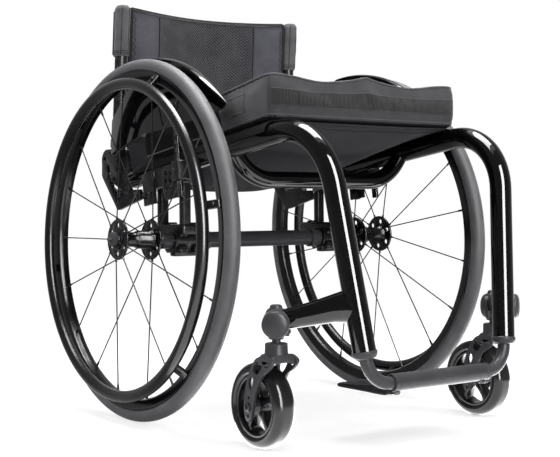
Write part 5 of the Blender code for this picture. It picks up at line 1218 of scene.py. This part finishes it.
def back_rest():
    """Knitted middle, plain side panels, bound edges and their stitching."""
    def skin(u, v):
        # once round the section in v: front face up, over the top, rear face down
        turn = 2 * math.pi * v
        return back_surface(2 * u - 1, bent(-math.cos(turn), 0.8) * 0.999, bent(-math.sin(turn), 0.35))

    piece = surfaced(100, 120, skin, close=True)
    painted(piece, BACK_KNIT, BACK_PANEL, BINDING)
    for polygon in piece.data.polygons:
        x, rise = abs(polygon.center.x) / BACK_HALF, polygon.center.z - PIVOT.z
        bound = rise > 0.2975 or rise < 0.073 or x > BINDING_EDGE
        polygon.material_index = 2 if bound else 1 if x > PANEL_EDGE else 0
    fitted(piece, "back_cover", "back", None, "fabric", "back_upholstery")

    def line(one, two, face, count=60, lift=0.0003):
        """Along the cover from one (u, v) to the other."""
        shares = ((one[0] + (two[0] - one[0]) * k / count, one[1] + (two[1] - one[1]) * k / count)
                  for k in range(count + 1))
        return [back_surface(u, v, face) + Vector((0, face * lift, 0)) for u, v in shares]

    pieces = []
    for face in (-1, 1):
        for side in (1, -1):
            seam, bound = side * PANEL_EDGE, side * BINDING_EDGE
            pieces.append(tube(line((seam, -0.95), (seam, 0.945), face), 0.0009, 10))
            pieces.append(tube(line((bound, -0.97), (bound, 0.97), face), 0.001, 10))
        pieces.append(tube(line((-0.965, 0.955), (0.965, 0.955), face), 0.0007, 10))
        pieces.append(tube(line((-0.965, -0.88), (0.965, -0.88), face), 0.001, 10))
    rim_line = [back_surface(-0.975 + 1.95 * k / 80, 0.999, 0) + Vector((0, 0, 0.0003)) for k in range(81)]
    pieces.append(tube(rim_line, 0.0014, 10))
    fitted(joined(*pieces), "back_piping", "back", BINDING, "fabric")
    stitches = []
    for side in (1, -1):
        for k in range(36):
            v, step = -0.88 + 1.76 * k / 36, 1.76 / 36
            for face in (-1, 1):
                one = back_surface(side * (ZIGZAG - 0.026 * (k % 2)), v, face)
                two = back_surface(side * (ZIGZAG - 0.026 * ((k + 1) % 2)), v + step, face)
                push = Vector((0, face * 0.0003, 0))
                stitches.append(rod(one + push, two + push, 0.0005, 6, 0.0001))
    fitted(joined(*stitches), "back_zigzag_stitching", "back", BINDING, "fabric")


def back_flap():
    """Loose flap below the back that closes the gap to the seat."""
    def skin(u, v):
        x = -0.171 + 0.342 * u
        rise = 0.07 - 0.072 * v
        sway = 0.0035 * math.sin(9 * x / 0.163 + 1.0) * v
        hollow = 0.03 * math.cos(math.pi * x / 0.3458) ** 1.6 * (1 - 0.35 * v)
        y = post_y(max(rise, 0.03)) + hollow - 0.012 * v + sway
        return PIVOT + Vector((x, y, rise))

    piece = surfaced(60, 16, skin)
    applied(piece, "SOLIDIFY", thickness=0.0022, offset=0)
    welded(piece)
    fitted(softened(piece, 0.0004, 1), "back_lower_flap", "back", SLING_CLOTH, "fabric")


# Seat


def seat_sling():
    """Stretched nylon over both rails, flat at its front hem and hanging a little behind it."""
    front, rear = AXLE_Y - 0.287, AXLE_Y + 0.1
    wrap, flat_share, wrap_turn, deepest = 0.0183, 0.8, 84, 0.047

    def skin(u, v):
        y = front + (rear - front) * v
        sag = 0.0008 + deepest * math.sin(math.pi * min(v * 1.02, 1) * 0.62)
        across = abs(2 * u - 1)
        side = 1 if u > 0.5 else -1
        z = rail_z(y)
        if across > flat_share:
            angle = math.radians(90 - wrap_turn * (across - flat_share) / 0.2)
            return Vector((side * (RAIL_X + wrap * math.cos(angle)), y, z + wrap * math.sin(angle)))
        reach = across / flat_share
        return Vector((side * RAIL_X * reach, y, z + wrap - sag * (1 - reach**3.2)))

    piece = surfaced(110, 40, skin)
    applied(piece, "SOLIDIFY", thickness=0.0014, offset=1)
    welded(piece)
    painted(piece, SLING_CLOTH, WEBBING_AND_SHADE)
    for polygon in piece.data.polygons:
        polygon.material_index = 1 if abs(polygon.center.x) > RAIL_X - 0.004 else 0
    fitted(smoothed(piece, 50), "sling_seat", "frame", None, "fabric", "seat_sling")
    hems = []
    for v in (0.012, 0.045):
        line = [skin(0.115 + 0.77 * k / 120, v) - Vector((0, 0, 0.0008)) for k in range(121)]
        hems.append(tube(line, 0.0005, 8))
    fitted(joined(*hems), "sling_hem_stitching", "frame", BINDING, "fabric")


def swollen(piece, pressure, cap, frames=20):
    """Air pressure inside swells the cover, and no point moves further than the cap."""
    mesh = piece.data
    start = np.zeros(len(mesh.vertices) * 3)
    mesh.vertices.foreach_get("co", start)
    cloth = piece.modifiers.new("cloth", "CLOTH")
    cloth.settings.quality = 6
    cloth.settings.use_pressure = True
    cloth.settings.uniform_pressure_force = pressure
    cloth.settings.effector_weights.gravity = 0
    cloth.point_cache.frame_start, cloth.point_cache.frame_end = 1, frames
    for step in range(1, frames + 1):
        bpy.context.scene.frame_set(step)
    pick(piece)
    bpy.ops.object.modifier_apply(modifier="cloth")
    end = np.zeros(len(piece.data.vertices) * 3)
    piece.data.vertices.foreach_get("co", end)
    move = (end - start).reshape(-1, 3)
    length = np.linalg.norm(move, axis=1, keepdims=True)
    move *= np.minimum(1, cap / np.maximum(length, 1e-9))
    move[:, 2] = np.maximum(move[:, 2], -0.1 * cap)
    piece.data.vertices.foreach_set("co", (start.reshape(-1, 3) + move).ravel())
    piece.data.update()
    bpy.context.scene.frame_set(1)
    return piece


def cushion_base(y):
    """Height of the cushion's underside, over the sling on the rails."""
    sling_r, lift = 0.018, 0.0035
    return rail_z(y) + sling_r * math.sin(math.radians(102)) + lift


def cushion_skin(u, v, w, inset=0.0):
    """Point of the cover from its place on a cube of half side 1: across, back and up."""
    edge, corner = 0.0035 + 0.006 * max(0.0, v), 0.011 + 0.021 * max(0.0, v)
    draw = inset + edge * w**4
    half_x, half_y = CUSHION_HALF - draw, (CUSHION_REAR - CUSHION_FRONT) / 2 - draw
    x, y = half_x * u, half_y * v
    over_x, over_y = max(0.0, abs(x) - half_x + corner), max(0.0, abs(y) - half_y + corner)
    if over_x and over_y:
        pull = max(over_x, over_y) / math.hypot(over_x, over_y)
        x = math.copysign(half_x - corner + over_x * pull, x)
        y = math.copysign(half_y - corner + over_y * pull, y)
    y += (CUSHION_FRONT + CUSHION_REAR) / 2
    share = min(max((y - CUSHION_FRONT) / (CUSHION_REAR - CUSHION_FRONT), 0), 1)
    base, thickness, thickness_behind = cushion_base(y), 0.0705, 0.056
    lift = 0.001 * max(abs(u), abs(v)) ** 60 + inset
    if w < 0:
        return Vector((x, y, base + thickness * (0.5 + 0.5 * w) + lift * w**4))
    height = thickness + (thickness_behind - thickness) * share
    trough = 0.0075 * math.exp(-(((abs(x) - 0.46 * CUSHION_HALF) / 0.05) ** 2))
    pommel = 0.005 * math.exp(-((x / 0.02) ** 2)) * (1 - share) ** 2
    seat = 0.0105 * math.exp(-((x / 0.1) ** 2)) * share**0.5
    top = height - trough * (1 - share) ** 0.5 - seat + pommel
    return Vector((x, y, base + thickness * 0.5 + (top - thickness * 0.5) * w - lift * w**4))


def cushion_ring(w, lift, count=220):
    """The closed line once round the cover's side at height w."""
    points = []
    for k in range(count):
        turn = 2 * math.pi * k / count
        c, s = math.cos(turn), math.sin(turn)
        reach = 1 / max(abs(c), abs(s))
        points.append(cushion_skin(c * reach, s * reach, w, -lift))
    return points


def cushion():
    """Contoured foam cushion in a sewn cover: knitted top, plain borders, a ribbed band across the front, and
    painted shade at the rear of its sides.
    """
    shrink, crowding, voxel, pressure, swell = 0.0012, 0.35, 0.0042, 4, 0.0025
    bpy.ops.mesh.primitive_cube_add(size=2)
    piece = bpy.context.object
    with editing(piece):
        bpy.ops.mesh.subdivide(number_cuts=60)
    for vertex in piece.data.vertices:
        u, v, w = vertex.co
        u, v = (math.sin(math.pi / 2 * a) * crowding + a * (1 - crowding) for a in (u, v))
        vertex.co = cushion_skin(u, v, w, shrink)
    welded(piece)
    pick(piece)
    piece.data.remesh_voxel_size = voxel
    bpy.ops.object.voxel_remesh()
    swollen(piece, pressure, swell)
    applied(piece, "SUBSURF", levels=1, render_levels=1)
    welded(piece)
    painted(piece, CANVAS, SEAT_KNIT, WEBBING_AND_SHADE, SMOOTH_COVER)
    for polygon in piece.data.polygons:
        rise = polygon.center.z - cushion_base(polygon.center.y)
        front, y = polygon.normal.y < -0.6, polygon.center.y
        # painted shade: side faces behind y = -0.085 take the near-black webbing finish; the bottom strip and
        # the band near the top are dark fabric
        polygon.material_index = (1 if polygon.normal.z > 0.7 else 2 if rise < 0.0045 else
                                  0 if front else 2 if rise > 0.0635 - 0.037 * (y + 0.21) or y > -0.085 else 3)
    fitted(smoothed(piece, 80), "cushion_cover", "frame", None, "fabric", "cushion")

    band_rows, band_columns = 7, 150
    low, high = 2 * 0.27 - 1, 2 * 0.625 - 1

    def band_point(u, v):
        along = -0.945 + 1.9 * u
        w = low + (high - low) * v
        if along > 0.93:
            return cushion_skin(1, -1 + (along - 0.93) * 3, w, -0.004)
        return cushion_skin(along, -1, w, -0.004)

    band = surfaced(band_columns, band_rows, band_point)
    draped(band, piece, 0.0005)
    applied(band, "SOLIDIFY", thickness=0.0014, offset=0)
    welded(band)
    fitted(smoothed(band, 50), "cushion_front_band", "frame", RIBBED, "fabric")

    cords = [tube(laid(cushion_ring(0.985, 0.001), piece, 0.0006), 0.0016, 12, cyclic=True),
             tube(laid(cushion_ring(2 * 0.075 - 1, 0.001), piece, 0.0004), 0.0011, 12, cyclic=True)]
    for w in (low - 0.012, high + 0.012):
        points = [band_point(k / 160, (w - low) / (high - low)) for k in range(161)]
        cords.append(tube(laid(points, piece, 0.0003), 0.0006, 8))
    fitted(joined(*cords), "cushion_piping", "frame", PIPING_PAINTED_SHEEN, "fabric")

    stitches = []
    for side in (1, -1):
        def corner(w, side=side):
            return laid([cushion_skin(side * 0.985, -1, w, -0.003)], piece, 0.0002)[0]
        stitches += dashes(corner, -0.66, 0.9, 22)
    for x in (-0.1365, -0.087, 0.097):
        def upright(w, x=x):
            return laid([cushion_skin(x / CUSHION_HALF, -1, w, -0.003)], piece, 0.0015)[0]
        stitches += dashes(upright, low, high, 8)
    fitted(joined(*stitches), "cushion_stitching", "frame", THREAD, "fabric")
    patches, borders = [], []
    for side in (1, -1):
        def patch_point(u, v, side=side):
            y = -0.151 + 0.057 * u
            across = (y - (CUSHION_FRONT + CUSHION_REAR) / 2) / ((CUSHION_REAR - CUSHION_FRONT) / 2)
            return cushion_skin(side, across, -0.42 + 0.84 * v, -0.003)

        patch = surfaced(14, 12, patch_point)
        draped(patch, piece, 0.0006)
        applied(patch, "SOLIDIFY", thickness=0.0012, offset=0)
        patches.append(smoothed(welded(patch), 50))
        square = [(0, 0), (1, 0), (1, 1), (0, 1)]
        edge = [patch_point(one[0] + (two[0] - one[0]) * k / 10, one[1] + (two[1] - one[1]) * k / 10)
                for one, two in zip(square, square[1:] + square[:1]) for k in range(10)]
        borders.append(tube(laid(edge, piece, 0.0012), 0.001, 8, cyclic=True))
    fitted(joined(*patches), "cushion_side_patches", "frame", CANVAS, "fabric")
    fitted(joined(*borders), "cushion_patch_borders", "frame", PIPING_PAINTED_SHEEN, "fabric")
    return piece


# Studio


def seen_rays(w):
    """1 for rays that show a thing, straight or in a gloss, and 0 for those that only light others."""
    path = w.add("ShaderNodeLightPath", out=None)
    seen = w.math("MAXIMUM", path.outputs["Is Camera Ray"], path.outputs["Is Glossy Ray"])
    return w.math("MAXIMUM", seen, path.outputs["Is Transmission Ray"])


def studio():
    """The camera that took the photograph, a pale floor, a white world and soft lamps."""
    scene = bpy.context.scene
    scene.view_settings.view_transform = "Standard"
    yaw, pitch, roll = -0.620610, -0.004552, -0.007750
    back = Vector((math.sin(yaw) * math.cos(pitch), -math.cos(yaw) * math.cos(pitch), math.sin(pitch)))
    right = (-back).cross(Vector((0, 0, 1))).normalized()
    up = right.cross(-back)
    c, s = math.cos(roll), math.sin(roll)
    turn = Matrix((c * right + s * up, -s * right + c * up, back)).transposed().to_4x4()
    camera_data = bpy.data.cameras.new("camera")
    camera = bpy.data.objects.new("camera", camera_data)
    scene.collection.objects.link(camera)
    camera.matrix_world = Matrix.Translation((-1.188380, -1.647440 + AXLE_Y, 0.339332)) @ turn
    sensor, picture_width, focal_pixels = 36, 560, 1149.306
    camera_data.sensor_width = sensor
    camera_data.lens = focal_pixels * sensor / picture_width
    camera_data.shift_x, camera_data.shift_y = 25.8155 / picture_width, -22.1459 / picture_width
    scene.camera = camera

    bpy.ops.mesh.primitive_grid_add(x_subdivisions=4, y_subdivisions=4, size=30, location=(0, 0, -0.0002))
    floor = bpy.context.object
    floor.name = "studio_floor"
    made, shader, w, place = new_material("pale_floor")
    far = w.ramp(w.add("ShaderNodeVectorMath", {"operation": "LENGTH"}, out=1, Vector=place), 0.9, 2.6)
    glow = w.times(seen_rays(w), w.plus(0.66, w.times(far, 0.34)))
    w.feed(shader, Roughness=0.6, Specular_IOR_Level=0.0, Emission_Color=(1, 1, 1, 1), Emission_Strength=glow,
           Base_Color=w.mix(far, (0.42, 0.42, 0.42, 1), (0, 0, 0, 1)))
    floor.data.materials.append(made)

    world = bpy.data.worlds.new("studio_white")
    scene.world = world
    world.use_nodes = True
    w = Wiring(world.node_tree)
    strength = w.plus(w.times(seen_rays(w), 0.4), 0.6)
    w.feed(world.node_tree.nodes["Background"], Color=(1, 1, 1, 1), Strength=strength)

    def softbox(name, place, target, size, power, card=False):
        """A soft lamp; a card only shows in glossy surfaces."""
        data = bpy.data.lights.new(name, "AREA")
        data.shape, data.size, data.size_y, data.energy = "RECTANGLE", size[0], size[1], power
        lamp = bpy.data.objects.new(name, data)
        scene.collection.objects.link(lamp)
        lamp.visible_diffuse = not card
        aim = Vector(target) - Vector(place)
        lamp.matrix_world = Matrix.Translation(place) @ aim.to_track_quat("-Z", "Y").to_matrix().to_4x4()
        return lamp

    softbox("overhead", (0.0, 0.0, 2.4), (0, 0, 0.3), (1.8, 1.8), 60)
    softbox("card_above", (0.0, 0.0, 2.35), (0, 0, 0.3), (1.5, 1.1), 420, card=True)
    softbox("card_low", (-0.1, -0.8, 0.002), (-0.1, -0.8, 1), (1.5, 1.45), 92, card=True).visible_camera = False
    softbox("key_right_front", (1.1, -2.2, 1.5), (0, 0, 0.4), (0.9, 1.4), 44).visible_glossy = False
    softbox("fill_left", (-2.6, 0.1, 1.3), (0, 0, 0.3), (0.9, 1.6), 30).visible_glossy = False
    softbox("card_front", (-0.45, -2.45, 1.25), (0, -0.3, 0.45), (1.05, 2.7), 1300, card=True)


def main():
    studio()
    for name, side in SIDES.items():
        phase = LEFT_WHEEL_TURN if side > 0 else 0.0
        tyre(name, side)
        rim(name, side)
        wheel_spokes(name, side, phase)
        hub(name, side, phase)
        push_ring(name, side, phase)
        axle(name, side)
        caster(name, side)
        fork(name, side)
        housing(name, side)
    frame_tubes()
    fittings()
    fitting_screws()
    footrest()
    back_posts()
    back_rest()
    back_flap()
    seat_sling()
    cushion()
    for name, side in SIDES.items():
        side_guard(name, side)


main()
